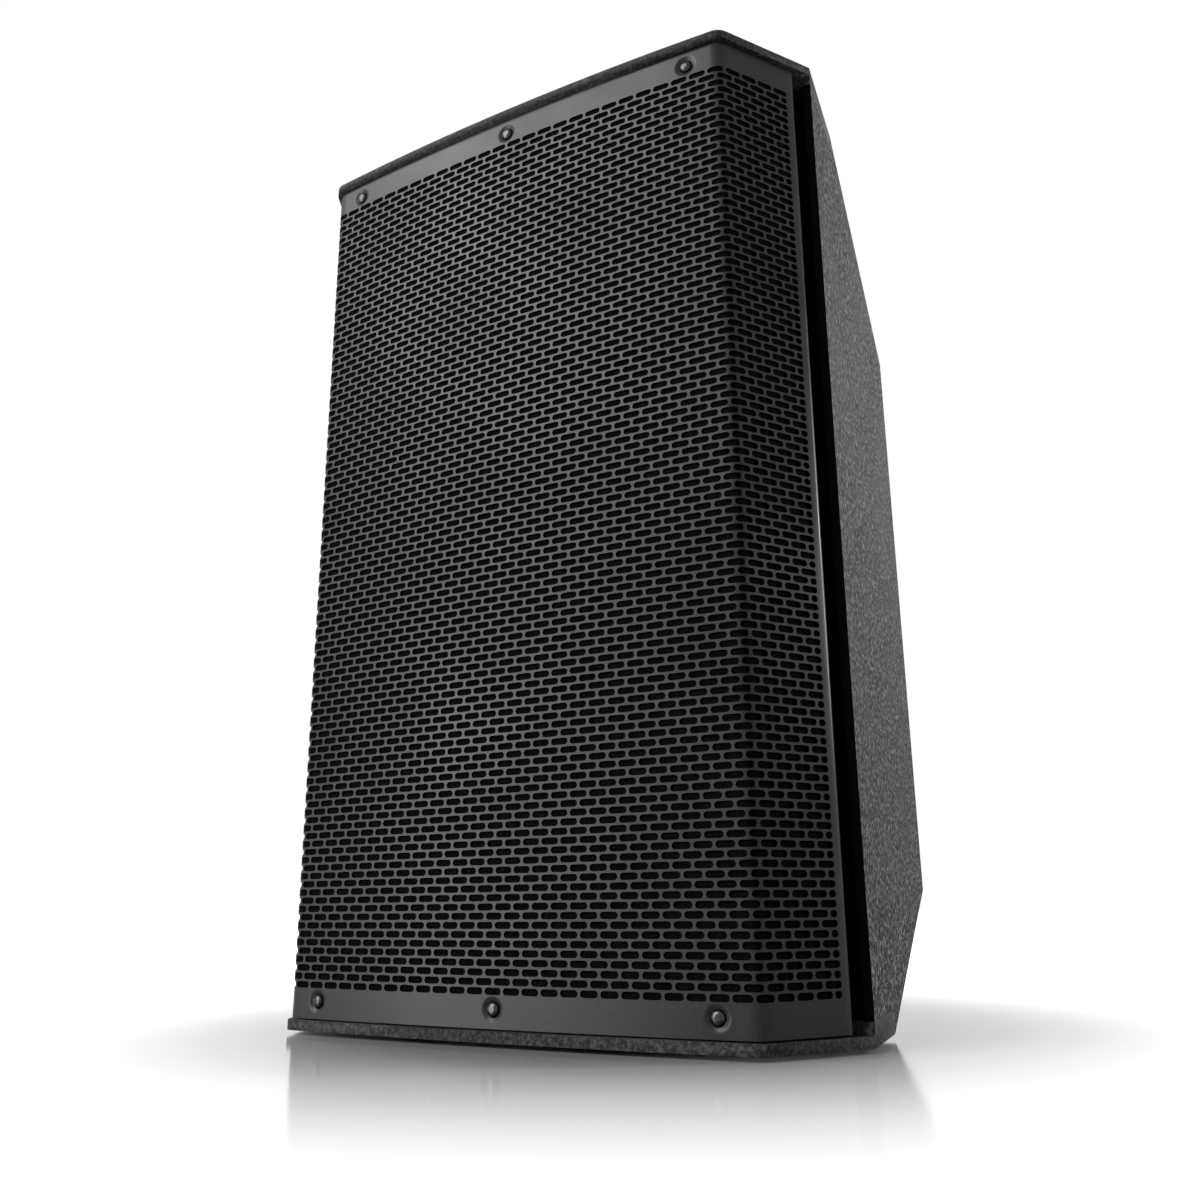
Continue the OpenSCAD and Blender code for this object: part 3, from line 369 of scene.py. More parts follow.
# Black anodised extrusion: faint lines along its length.
ANODISED = Finish(
    "black anodised aluminium", "202023", "2f2f33", roughness=0.35, pattern=Pattern.BRUSHED,
    grain_mm=0.6, bump_mm=0.01, bump=0.3, metallic=0.8, stretch=(1.0, 1.0, 0.04)
)
# Glass-epoxy laminate under green solder resist.
LAMINATE = Finish(
    "glass-epoxy laminate", "0f3f22", "1c5a33", roughness=0.35, pattern=Pattern.WEAVE,
    grain_mm=0.7, bump_mm=0.01, bump=0.2
)
# Thermoplastic rubber of the knobs: dull, with a soft bloom.
SOFT_RUBBER = Finish(
    "soft-touch rubber", "1a1a1b", "242425", roughness=0.7, grain_mm=0.5, bump_mm=0.02, bump=0.3
)
# Grey polished ABS of the push buttons.
POLISHED_ABS = Finish(
    "polished abs", "5e6063", "686a6d", roughness=0.22, grain_mm=2.0, bump_mm=0.005, bump=0.1
)
# Tinted polycarbonate of the signal lamps.
LAMP_LENS = Finish(
    "lamp lens", "1f6a2c", "38b04c", roughness=0.12, grain_mm=2.0, bump_mm=0.002, bump=0.1,
    ior=1.58
)
# Silicone sheath of the inner wires.
SILICONE = Finish(
    "silicone sheath", "6e120c", "8a1c14", roughness=0.4, grain_mm=1.0, bump_mm=0.01, bump=0.2
)
# Bonded polyester fibre.
FIBRE = Finish(
    "polyester fibre", "b9b8b2", "d8d7d0", roughness=0.9, grain_mm=3.0, bump_mm=1.0, bump=0.9
)
# Moulded rubber of the feet and gaskets.
FOOT_RUBBER = Finish("moulded rubber", "121212", "1b1b1b", roughness=0.65, bump_mm=0.04)
# White ink of the tick marks and the knobs' pointers: matt and very slightly warm.
WHITE_INK = Finish("white pad print", "c8c8c4", "d6d6d2", roughness=0.5, bump_mm=0.005, bump=0.1)

CARRIED: dict[Finish, tuple[str, ...]] = {
    SPLATTER_PAINT: ("rear_panel", "upper_rear_panel", "lower_rear_panel"),
    BLACK_PLY_AND_LIP_SHADE: ("front_baffle", "grille_cleats"),
    BIRCH_PLY: ("window_brace", "corner_battens", "amp_seat_frame"),
    BLACK_ZINC: ("woofer_bolts", "horn_screws", "amp_panel_screws", "handle_screws"),
    CAST_ENAMEL: ("woofer_basket", "compression_driver"),
    ZINC_STEEL: (
        "woofer_front_plate",
        "woofer_back_plate",
        "pole_socket_screws",
        "amp_housing",
        "combo_latch_1",
        "combo_latch_2",
        "fly_inserts",
    ),
    FERRITE: ("woofer_magnet",),
    COPPER: ("woofer_coil",),
    PULP: ("woofer_cone", "woofer_dust_cap"),
    DOPED_CLOTH: ("woofer_surround",),
    RESIN_CLOTH: ("woofer_spider",),
    MOULDED_ABS: (
        "horn_flare",
        "port_tubes",
        "combo_sockets",
        "link_socket",
        "mains_inlet",
        "switch_frame",
        "power_rocker",
        "handle_dish",
        "rear_feet",
    ),
    PANEL_COAT: ("amp_panel", "pole_socket"),
    ANODISED: ("heatsink",),
    LAMINATE: ("amp_board", "supply_board"),
    POLISHED_ABS: ("input_button_1", "input_button_2", "contour_button", "lift_button"),
    LAMP_LENS: ("led_lenses",),
    SILICONE: ("speaker_wires",),
    FIBRE: ("wadding",),
    FOOT_RUBBER: ("woofer_gasket", "front_feet"),
}


# ---- Mesh helpers ------------------------------------------------------------------------------


def faces_of(geom: Iterable[Any]) -> list[bmesh.types.BMFace]:
    """Returns the faces among mixed geometry."""
    return [g for g in geom if isinstance(g, bmesh.types.BMFace)]


def verts_of(geom: Iterable[Any]) -> list[bmesh.types.BMVert]:
    """Returns the vertices among mixed geometry."""
    return [g for g in geom if isinstance(g, bmesh.types.BMVert)]


def whole(faces: Iterable[bmesh.types.BMFace]) -> list[Any]:
    """Returns faces together with their edges and vertices."""
    geom: dict[Any, None] = {}
    for face in faces:
        geom[face] = None
        for edge in face.edges:
            geom[edge] = None
        for vert in face.verts:
            geom[vert] = None
    return list(geom)


def copied(
    bm: bmesh.types.BMesh, faces: list[bmesh.types.BMFace], shift: tuple[float, float, float]
) -> list[bmesh.types.BMFace]:
    """Copies faces and moves the copy.

    Args:
        bm: the mesh.
        faces: what to copy.
        shift: how far the copy moves.

    Returns:
        The copied faces.
    """
    made = bmesh.ops.duplicate(bm, geom=whole(faces))["geom"]
    bmesh.ops.translate(bm, verts=verts_of(made), vec=Vector(shift))
    return faces_of(made)


def out_of_panel(x: float, face_y: float, z: float) -> Matrix:
    """Returns the place of a control, with its +Z out of the rear panel and its +Y up.

    Args:
        x: place of its axis across the cabinet.
        face_y: the panel's outer face.
        z: height of its axis.

    Returns:
        The matrix that puts it there.
    """
    turn = Matrix(((-1, 0, 0, 0), (0, 0, 1, 0), (0, 1, 0, 0), (0, 0, 0, 1)))
    return Matrix.Translation((x, face_y, z)) @ turn


def piece_from(
    bm: bmesh.types.BMesh, name: str, body: str, slot: str, *nodes: str, smooth: float = 35.0
) -> bpy.types.Object:
    """Makes a finished piece out of a bmesh and hangs it on its body.

    Args:
        bm: the mesh, in place; it is freed.
        name: the piece's name.
        body: the CAD body that it rides on.
        slot: the record's material slot; not used.
        nodes: the CAD nodes that it stands for.
        smooth: edges flatter than this many degrees are shaded smooth.

    Returns:
        The new object.
    """
    mesh = bpy.data.meshes.new(name)
    bm.to_mesh(mesh)
    bm.free()
    mesh.shade_smooth()
    mesh.set_sharp_from_angle(angle=math.radians(smooth))
    piece = bpy.data.objects.new(name, mesh)
    bpy.context.scene.collection.objects.link(piece)
    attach(piece, body)
    if nodes:
        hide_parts(*nodes)
    log.info("%s: %d faces", name, len(mesh.polygons))
    return piece


# ---- Front grille ------------------------------------------------------------------------------


@dataclass
class FrontPlan:
    """Plan of the bowed front with its two chamfers, as the cabinet's panels follow it."""

    crown_y: float
    base_z: float
    bow_radius: float = 2.4
    bow_width: float = 0.368
    corner_radius: float = 0.012
    edge: tuple[float, float] = (0.227, 0.079)
    side_gap: float = 0.013
    stand_back: float = 0.003
    bend_radius: float = 0.004
    flange: float = 0.012

    def __post_init__(self) -> None:
        """Works out the chamfer's line and the tangent points."""
        half = self.bow_width / 2
        self.corner = Vector((half, self.bow_radius - math.sqrt(self.bow_radius**2 - half**2)))
        run = Vector(self.edge) - self.corner
        self.turn = math.atan2(run.y, run.x)
        self.along = run.normalized()
        foot = self.corner - self.corner_radius * self.out(self.turn)
        from_centre = foot - Vector((0, self.bow_radius))
        back = from_centre.dot(self.along)
        reach = (self.bow_radius - self.corner_radius) ** 2
        step = -back - math.sqrt(back**2 - from_centre.length_squared + reach)
        self.corner_centre = foot + self.along * step
        self.bow_turn = math.atan2(
            self.corner_centre.x, self.bow_radius - self.corner_centre.y
        )
        straight = run.length - self.side_gap - self.bend_radius
        self.bend_centre = (
            self.corner
            + self.along * straight
            - (self.stand_back + self.bend_radius) * self.out(self.turn)
        )
        radius = self.bow_radius - self.stand_back
        self.bow_length = radius * self.bow_turn
        self.corner_length = (self.corner_radius - self.stand_back) * (self.turn - self.bow_turn)
        self.chamfer_length = self.along.dot(self.bend_centre - self.corner_centre)
        self.bend_start = self.bow_length + self.corner_length + self.chamfer_length

    @staticmethod
    def out(turn: float) -> Vector:
        """Returns the outward normal where the front has turned by an angle."""
        return Vector((math.sin(turn), -math.cos(turn)))

    def at(self, run: float) -> tuple[Vector, Vector]:
        """Finds a point of the sheet's outer face.

        Args:
            run: length along the face from the middle line; negative to the left.

        Returns:
            The point and its outward normal, in plan, with y from the crown.
        """
        side, s = math.copysign(1.0, run), abs(run)
        if s <= self.bow_length:
            radius = self.bow_radius - self.stand_back
            normal = self.out(s / radius)
            point = Vector((0, self.bow_radius)) + radius * normal
        elif s <= self.bow_length + self.corner_length:
            radius = self.corner_radius - self.stand_back
            normal = self.out(self.bow_turn + (s - self.bow_length) / radius)
            point = self.corner_centre + radius * normal
        elif s <= self.bend_start:
            normal = self.out(self.turn)
            rest = s - self.bow_length - self.corner_length
            point = (
                self.corner_centre
                + (self.corner_radius - self.stand_back) * normal
                + rest * self.along
            )
        else:
            rest = s - self.bend_start
            quarter = self.bend_radius * math.pi / 2
            turn = self.turn + min(rest, quarter) / self.bend_radius
            normal = self.out(turn)
            point = self.bend_centre + self.bend_radius * normal
            if rest > quarter:
                point += (rest - quarter) * Vector((-math.sin(self.turn), math.cos(self.turn)))
        return Vector((side * point.x, point.y)), Vector((side * normal.x, normal.y))

    def place(self, run: float, height: float, depth: float) -> Vector:
        """Returns the row-frame point at a run and height, depth behind the sheet's face."""
        point, normal = self.at(run)
        inner = point - depth * normal
        return Vector((inner.x, inner.y + self.crown_y, height + self.base_z))


@dataclass
class Grille:
    """Bent steel sheet with staggered round-ended slots and pressed dimples round its screws."""

    plan: FrontPlan
    sheet: float = 0.0010
    rows: int = 110
    half_columns: int = 17
    row_pitch: float = 0.00585
    side_band: float = 0.0034
    slot_share: float = 0.885
    slot_height: float = 0.0045
    bottom: float = 0.0082
    top: float = 0.6918
    screw_x: float = 0.156
    screw_inset: float = 0.020
    cabinet_height: float = 0.700
    dimple_radius: float = 0.0082
    dimple_floor: float = 0.0048
    dimple_depth: float = 0.0013
    band_steps: int = 6
    bend_steps: int = 6

    def __post_init__(self) -> None:
        """Spaces the slots so that they end at the side band."""
        self.field_half = self.plan.bend_start - self.side_band
        self.pitch = self.field_half / self.half_columns
        self.first_edge = (self.cabinet_height - self.rows * self.row_pitch) / 2
        self.screws = [
            (x, z)
            for x in (-self.screw_x, 0.0, self.screw_x)
            for z in (self.screw_inset, self.cabinet_height - self.screw_inset)
        ]

    def plate(
        self, bm: bmesh.types.BMesh, middle: Vector, width: float, height: float
    ) -> list[bmesh.types.BMVert]:
        """Adds one flat rectangle and returns its four vertices."""
        place = Matrix.Translation(middle) @ Matrix.Diagonal((width, height, 1.0, 1.0))
        made = bmesh.ops.create_grid(bm, x_segments=1, y_segments=1, size=0.5, matrix=place)
        return made["verts"]

    def cell(
        self, bm: bmesh.types.BMesh, middle: Vector, width: float, slot: float, steps: int
    ) -> list[bmesh.types.BMFace]:
        """Adds the sheet round one slot.

        Args:
            bm: the flat sheet, x along the run and y up.
            middle: middle of the cell.
            width: width of the cell.
            slot: length of the slot.
            steps: number of spans along the cell's long sides.

        Returns:
            The faces made.
        """
        small = bmesh.new()
        bmesh.ops.bevel(
            small,
            geom=self.plate(small, middle, slot, self.slot_height),
            offset=min(self.slot_height, slot) * 0.48,
            affect="VERTICES",
            segments=3,
            profile=0.5,
            material=-1,
        )
        straight = [e for e in small.edges if e.calc_length() > slot * 0.4]
        if straight and steps > 2:
            bmesh.ops.bisect_edges(small, edges=straight, cuts=2)
        sides = {e for v in self.plate(small, middle, width, self.row_pitch) for e in v.link_edges}
        flat = [e for e in sides if abs(e.verts[0].co.y - e.verts[1].co.y) < 1e-6]
        bmesh.ops.bisect_edges(small, edges=flat, cuts=steps - 1)
        bmesh.ops.delete(small, geom=small.faces[:], context="FACES_ONLY")
        bmesh.ops.triangle_fill(small, edges=small.edges[:], use_beauty=True)
        mesh = bpy.data.meshes.new("slot_cell")
        small.to_mesh(mesh)
        small.free()
        before = len(bm.faces)
        bm.from_mesh(mesh)
        bpy.data.meshes.remove(mesh)
        return bm.faces[:][before:]

    def row_pair(self, bm: bmesh.types.BMesh, edge: float) -> list[bmesh.types.BMFace]:
        """Adds an odd row and the even row over it.

        Args:
            bm: the flat sheet.
            edge: height of the pair's lower edge.

        Returns:
            The faces made.
        """
        slot = self.pitch * self.slot_share
        low, high = edge + self.row_pitch * 0.5, edge + self.row_pitch * 1.5
        count = self.half_columns
        first = self.cell(bm, Vector((-self.pitch * (count - 1), low, 0)), self.pitch, slot, 4)
        pair = list(first)
        for k in range(1, 2 * count - 1):
            pair += copied(bm, first, (k * self.pitch, 0, 0))
        upper = copied(bm, first, (-self.pitch / 2, high - low, 0))
        pair += upper
        for k in range(1, 2 * count):
            pair += copied(bm, upper, (k * self.pitch, 0, 0))
        for side in (-1, 1):
            middle = Vector((side * self.pitch * (count - 0.25), low, 0))
            gap = self.pitch * (1 - self.slot_share)
            pair += self.cell(bm, middle, self.pitch / 2, self.pitch / 2 - gap, 2)
        return pair

    def grow(self, bm: bmesh.types.BMesh, near: Callable[[Vector], bool], step: Vector) -> None:
        """Extends the sheet's rim by a strip.

        Args:
            bm: the flat sheet.
            near: tells which rim vertices belong to the side that grows.
            step: how far that side moves.
        """
        rim = [
            e for e in bm.edges if len(e.link_faces) == 1 and all(near(v.co) for v in e.verts)
        ]
        made = bmesh.ops.extrude_edge_only(bm, edges=rim)["geom"]
        bmesh.ops.translate(bm, verts=verts_of(made), vec=step)

    def flat(self, first_row: int, pairs: int) -> bmesh.types.BMesh:
        """Makes a part of the sheet as it is before bending.

        Args:
            first_row: the lowest row, counted from the bottom.
            pairs: how many pairs of rows it has.

        Returns:
            The flat sheet, one layer thick, with its band and side strips.
        """
        bm = bmesh.new()
        low = self.first_edge + first_row * self.row_pitch
        high = low + 2 * pairs * self.row_pitch
        pair = self.row_pair(bm, low)
        for k in range(1, pairs):
            copied(bm, pair, (0, 2 * k * self.row_pitch, 0))
        bmesh.ops.remove_doubles(bm, verts=bm.verts[:], dist=2e-5)
        tiny = 1e-5
        if first_row == 0:
            step = (self.bottom - low) / self.band_steps
            for k in range(self.band_steps):
                line = low + k * step
                self.grow(bm, lambda p, y=line: abs(p.y - y) < tiny, Vector((0, step, 0)))
        if first_row + 2 * pairs == self.rows:
            step = (self.top - high) / self.band_steps
            for k in range(self.band_steps):
                line = high + k * step
                self.grow(bm, lambda p, y=line: abs(p.y - y) < tiny, Vector((0, step, 0)))
        quarter = self.plan.bend_radius * math.pi / 2
        rolled = [quarter / self.bend_steps] * self.bend_steps
        steps = [self.side_band] + rolled + [self.plan.flange]
        for side in (-1, 1):
            line = side * self.field_half
            for step in steps:
                self.grow(
                    bm, lambda p, x=line: abs(p.x - x) < tiny, Vector((side * step, 0, 0))
                )
                line += side * step
        self.refine(bm)
        return bm

    def refine(self, bm: bmesh.types.BMesh) -> None:
        """Splits the plain sheet round each screw finely enough for its dimple."""
        for x, z in self.screws:
            spot = Vector((x, z, 0))
            near = {
                e
                for f in bm.faces
                if (f.calc_center_median() - spot).length < self.dimple_radius + 0.002
                and len(f.verts) == 4
                for e in f.edges
            }
            if near:
                bmesh.ops.subdivide_edges(bm, edges=list(near), cuts=3, use_grid_fill=True)

    def dimple(self, run: float, height: float) -> float:
        """Returns how far the sheet is pressed in at a point."""
        deepest = 0.0
        for x, z in self.screws:
            away = math.hypot(run - x, height - z)
            if away < self.dimple_radius:
                t = (self.dimple_radius - away) / (self.dimple_radius - self.dimple_floor)
                t = min(1.0, t)
                deepest = max(deepest, self.dimple_depth * t * t * (3 - 2 * t))
        return deepest

    def bend(self, bm: bmesh.types.BMesh) -> None:
        """Gives the flat sheet its thickness and its bent shape."""
        bmesh.ops.recalc_face_normals(bm, faces=bm.faces[:])
        layer = bmesh.ops.extrude_face_region(bm, geom=bm.faces[:], use_keep_orig=True)["geom"]
        bmesh.ops.translate(bm, verts=verts_of(layer), vec=Vector((0, 0, self.sheet)))
        for v in bm.verts:
            press = self.dimple(v.co.x, v.co.y)
            v.co = self.plan.place(v.co.x, v.co.y, v.co.z + press)
        bmesh.ops.recalc_face_normals(bm, faces=bm.faces[:])

    def build(self) -> list[bpy.types.Object]:
        """Makes the lower, middle and upper parts of the sheet."""
        pieces = []
        parts = (("grille_lower", 0, 18), ("grille_middle", 36, 19), ("grille_upper", 74, 18))
        for name, first, pairs in parts:
            bm = self.flat(first, pairs)
            self.bend(bm)
            piece = piece_from(bm, name, "cabinet", "grille_steel", "grille", smooth=28)
            POWDER_COAT.dress(piece)
            pieces.append(piece)
        return pieces


@dataclass
class GrilleFoam:
    """Black foam behind the sheet, squeezed thin where the cleats press on it."""

    plan: FrontPlan
    skin: tuple[float, float] = (0.0012, 0.0017)
    body: tuple[float, float] = (0.00185, 0.0068)
    skin_inset: float = 0.0095
    body_inset: float = 0.0365
    height: float = 0.700
    end: float = 0.007

    def slab(
        self, bm: bmesh.types.BMesh, low: float, high: float, depths: tuple[float, float]
    ) -> None:
        """Adds one closed slab that follows the sheet.

        Args:
            bm: the mesh.
            low: height of its lower edge.
            high: height of its upper edge.
            depths: how far its two faces lie behind the sheet's outer face.
        """
        half = self.plan.bend_start - self.end
        place = Matrix.Translation((0, (low + high) / 2, 0))
        scale = Matrix.Diagonal((2 * half, high - low, 1.0, 1.0))
        made = bmesh.ops.create_grid(
            bm, x_segments=180, y_segments=1, size=0.5, matrix=place @ scale
        )["verts"]
        front = list({f for v in made for f in v.link_faces})
        layer = bmesh.ops.extrude_face_region(bm, geom=front, use_keep_orig=True)["geom"]
        back = set(verts_of(layer))
        for v in list(made) + list(back):
            v.co = self.plan.place(v.co.x, v.co.y, depths[1] if v in back else depths[0])

    def build(self) -> bpy.types.Object:
        """Makes the foam as one piece."""
        bm = bmesh.new()
        self.slab(bm, self.skin_inset, self.height - self.skin_inset, self.skin)
        self.slab(bm, self.body_inset, self.height - self.body_inset, self.body)
        bmesh.ops.recalc_face_normals(bm, faces=bm.faces[:])
        piece = piece_from(bm, "grille_foam_sheet", "cabinet", "black_foam", "grille_foam")
        ACOUSTIC_FOAM.dress(piece)
        return piece


@dataclass
class GrilleScrews:
    """Black pan-head screws with a cross recess, in the grille's dimples."""

    grille: Grille
    head_radius: float = 0.0046
    head_height: float = 0.0024
    shank_radius: float = 0.0024
    length: float = 0.014

    def screw(self) -> bmesh.types.BMesh:
        """Makes one screw with its head's underside at the origin, head towards +Z."""
        bm = bmesh.new()
        disc = bmesh.ops.create_circle(bm, cap_ends=True, segments=32, radius=self.head_radius)
        top = list({f for v in disc["verts"] for f in v.link_faces})
        rise = (0.45, 0.3, 0.17, 0.08)
        shrink = (0.0003, 0.0007, 0.0009, 0.0006)
        for share, inset in zip(rise, shrink):
            made = bmesh.ops.extrude_face_region(bm, geom=top)["geom"]
            top = faces_of(made)
            bmesh.ops.translate(
                bm, verts=verts_of(made), vec=Vector((0, 0, share * self.head_height))
            )
            size = max(v.co.xy.length for v in verts_of(made))
            bmesh.ops.scale(
                bm, verts=verts_of(made), vec=Vector(((size - inset) / size,) * 2 + (1.0,))
            )
        bmesh.ops.inset_region(bm, faces=top, thickness=0.0001)
        for v in top[0].verts:
            angle = math.atan2(v.co.y, v.co.x)
            share = 0.42 + 0.58 * abs(math.cos(2 * angle)) ** 3
            v.co.xy = v.co.xy * share
        made = bmesh.ops.extrude_face_region(bm, geom=top)["geom"]
        bmesh.ops.delete(bm, geom=[f for f in top if f.is_valid], context="FACES_ONLY")
        bmesh.ops.translate(bm, verts=verts_of(made), vec=Vector((0, 0, -0.0014)))
        bmesh.ops.create_cone(
            bm,
            cap_ends=True,
            segments=20,
            radius1=self.shank_radius,
            radius2=self.shank_radius,
            depth=self.length,
            matrix=Matrix.Translation((0, 0, -self.length / 2 - 0.00002)),
        )
        bmesh.ops.recalc_face_normals(bm, faces=bm.faces[:])
        return bm

    def build(self) -> bpy.types.Object:
        """Makes all the grille's screws as one piece."""
        whole_set = bmesh.new()
        for k, (x, z) in enumerate(self.grille.screws):
            one = self.screw()
            depth = self.grille.dimple_depth - 0.0001
            spot = self.grille.plan.place(x, z, depth)
            _, normal = self.grille.plan.at(x)
            facing = Vector((normal.x, normal.y, 0)).to_track_quat("Z", "Y").to_matrix().to_4x4()
            turned = Matrix.Rotation(math.radians(17 + 41 * k), 4, "Z")
            bmesh.ops.transform(
                one, matrix=Matrix.Translation(spot) @ facing @ turned, verts=one.verts[:]
            )
            mesh = bpy.data.meshes.new("one_screw")
            one.to_mesh(mesh)
            one.free()
            whole_set.from_mesh(mesh)
            bpy.data.meshes.remove(mesh)
        piece = piece_from(
            whole_set, "grille_screw_set", "cabinet", "black_screws", "grille_screws", smooth=30
        )
        BLACK_ZINC.dress(piece)
        return piece


# ---- Shell -------------------------------------------------------------------------------------


@dataclass
class PaintedBoard:
    """A plywood board of the shell with its outer arrises rounded over under the paint."""

    node: str
    arrises: Callable[[Vector, Vector], bool]
    radius: float = 0.0028
    segments: int = 3
    finish: Finish = SPLATTER_PAINT
    lit_flank: Finish | None = None
    lip_y: float = -0.1

    def build(self) -> bpy.types.Object:
        """Copies the board, merges its flats and rounds the chosen edges."""
        bm = bmesh.new()
        bm.from_mesh(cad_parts[self.node].data)
        bmesh.ops.remove_doubles(bm, verts=bm.verts[:], dist=1e-6)
        bmesh.ops.dissolve_limit(
            bm, angle_limit=math.radians(0.4), verts=bm.verts[:], edges=bm.edges[:]
        )
        chosen = [
            e
            for e in bm.edges
            if len(e.link_faces) == 2
            and e.calc_face_angle(0) > math.radians(20)
            and self.arrises(e.verts[0].co, e.verts[1].co)
        ]
        if chosen:
            bmesh.ops.bevel(
                bm,
                geom=chosen,
                offset=self.radius,
                affect="EDGES",
                segments=self.segments,
                profile=0.5,
                clamp_overlap=True,
                material=-1,
            )
        piece = piece_from(
            bm, self.node + "_painted", "cabinet", "textured_paint", self.node, smooth=40
        )
        self.finish.dress(piece)
        if self.lit_flank is not None:
            self.share_faces(piece)
        return piece

    def share_faces(self, piece: bpy.types.Object) -> None:
        """Gives the outward flat a lighter copy of the paint, as painted light, and the front lips
        black, as painted shade.

        Args:
            piece: the board, already dressed in its main finish.
        """
        piece.data.materials.append(self.lit_flank.material())
        piece.data.materials.append(BLACK_PLY_AND_LIP_SHADE.material())
        middle = sum((v.co.x for v in piece.data.vertices)) / len(piece.data.vertices)
        for face in piece.data.polygons:
            # Outer flat: lighter paint, painted light; faces in front of lip_y: black, painted
            # shade in the groove.
            if face.normal.x * math.copysign(1.0, middle) > 0.5:
                face.material_index = 1
            elif face.center.y < self.lip_y:
                face.material_index = 2


# ---- Controls ----------------------------------------------------------------------------------


@dataclass
class Knob:
    """A fluted soft-touch knob on its shaft, with a white pointer line."""

    node: str
    x: float
    z: float
    face_y: float = 0.1875
    radius: float = 0.0074
    height: float = 0.0095
    gap: float = 0.0006
    shaft_radius: float = 0.0029
    shaft_depth: float = 0.0079
    flutes: int = 18
    flute_depth: float = 0.00045
    sides: int = 144
    pointer_size: tuple[float, float, float] = (0.0011, 0.0040, 0.0006)
    pointer_round: float = 0.00012
    pointer_inset: float = 0.0036

    def place(self) -> Matrix:
        """Returns the knob's place on the panel."""
        return out_of_panel(self.x, self.face_y, self.z)

    def body(self) -> bpy.types.Object:
        """Makes the knob and its shaft as one turned and fluted shape."""
        profile = [
            (self.shaft_radius, -self.shaft_depth),
            (self.shaft_radius, self.gap),
            (self.radius - 0.0005, self.gap),
            (self.radius, self.gap + 0.0004),
            (self.radius, self.gap + 0.0017),
            (self.radius - 0.0006, self.gap + 0.0022),
            (self.radius - 0.0009, self.height - 0.0012),
            (self.radius - 0.0012, self.height - 0.0005),
            (self.radius - 0.0018, self.height - 0.0001),
            (self.radius - 0.0026, self.height),
            (self.radius - 0.0034, self.height - 0.0003),
        ]
        bm = bmesh.new()
        line = [bm.verts.new((r, 0, z)) for r, z in profile]
        edges = [bm.edges.new(pair) for pair in zip(line, line[1:])]
        bmesh.ops.spin(
            bm,
            geom=line + edges,
            cent=(0, 0, 0),
            axis=(0, 0, 1),
            angle=math.tau,
            steps=self.sides,
            use_merge=True,
        )
        bmesh.ops.remove_doubles(bm, verts=bm.verts[:], dist=1e-7)
        bmesh.ops.holes_fill(bm, edges=[e for e in bm.edges if e.is_boundary], sides=0)
        low, high = self.gap + 0.0021, self.height - 0.0004
        for v in bm.verts:
            if low < v.co.z < high and v.co.xy.length > 0.004:
                angle = math.atan2(v.co.y, v.co.x)
                dip = self.flute_depth * (0.5 - 0.5 * math.cos(self.flutes * angle)) ** 0.6
                v.co.xy = v.co.xy * (1 - dip / v.co.xy.length)
        bmesh.ops.recalc_face_normals(bm, faces=bm.faces[:])
        bmesh.ops.transform(bm, matrix=self.place(), verts=bm.verts[:])
        piece = piece_from(
            bm, self.node + "_fluted", self.node + "_body", "soft_knob", self.node, smooth=40
        )
        SOFT_RUBBER.dress(piece)
        return piece

    def pointer(self) -> bpy.types.Object:
        """Makes the inlaid white line on the knob's top."""
        bm = bmesh.new()
        bmesh.ops.create_cube(bm, size=1.0)
        bmesh.ops.scale(bm, verts=bm.verts[:], vec=Vector(self.pointer_size))
        bmesh.ops.bevel(
            bm,
            geom=bm.edges[:],
            offset=self.pointer_round,
            affect="EDGES",
            segments=2,
            profile=0.5,
            clamp_overlap=True,
            material=-1,
        )
        spot = Vector((0, self.radius - self.pointer_inset, self.height - 0.0002))
        bmesh.ops.translate(bm, verts=bm.verts[:], vec=spot)
        bmesh.ops.transform(bm, matrix=self.place(), verts=bm.verts[:])
        piece = piece_from(bm, self.node + "_pointer", self.node + "_body", "soft_knob")
        WHITE_INK.dress(piece)
        return piece


@dataclass
class PanelPrint:
    """Plain tick marks round the knobs, with no lettering."""

    knobs: tuple[tuple[float, float], ...]
    face_y: float = 0.1875
    thickness: float = 0.00006
    inner: float = 0.0092
    outer: float = 0.0112
    ticks: int = 11
    sweep: float = 300.0
    tick_width: float = 0.0005
    longer_by: float = 0.0008
    clear: float = 0.00001

    def bar(self, bm: bmesh.types.BMesh, size: tuple[float, float], place: Matrix) -> None:
        """Adds one flat printed bar.

        Args:
            bm: the mesh to add to.
            size: width and length of the bar.
            place: where it goes, +Z out of the panel.
        """
        made = bmesh.ops.create_cube(bm, size=1.0)["verts"]
        bmesh.ops.scale(bm, verts=made, vec=Vector((size[0], size[1], self.thickness)))
        bmesh.ops.transform(bm, matrix=place, verts=made)

    def build(self) -> bpy.types.Object:
        """Prints every mark as one piece."""
        bm = bmesh.new()
        lift = Matrix.Translation((0, 0, self.thickness / 2 + self.clear))
        marked = (0, self.ticks // 2, self.ticks - 1)
        for x, z in self.knobs:
            base = out_of_panel(x, self.face_y, z) @ lift
            for k in range(self.ticks):
                angle = math.radians(self.sweep * (k / (self.ticks - 1) - 0.5))
                length = self.outer - self.inner + (self.longer_by if k in marked else 0.0)
                spot = Matrix.Rotation(angle, 4, "Z") @ Matrix.Translation(
                    (0, self.inner + length / 2, 0)
                )
                self.bar(bm, (self.tick_width, length), base @ spot)
        piece = piece_from(bm, "panel_tick_marks", "cabinet", "panel_paint")
        WHITE_INK.dress(piece)
        return piece


# ---- Studio ------------------------------------------------------------------------------------


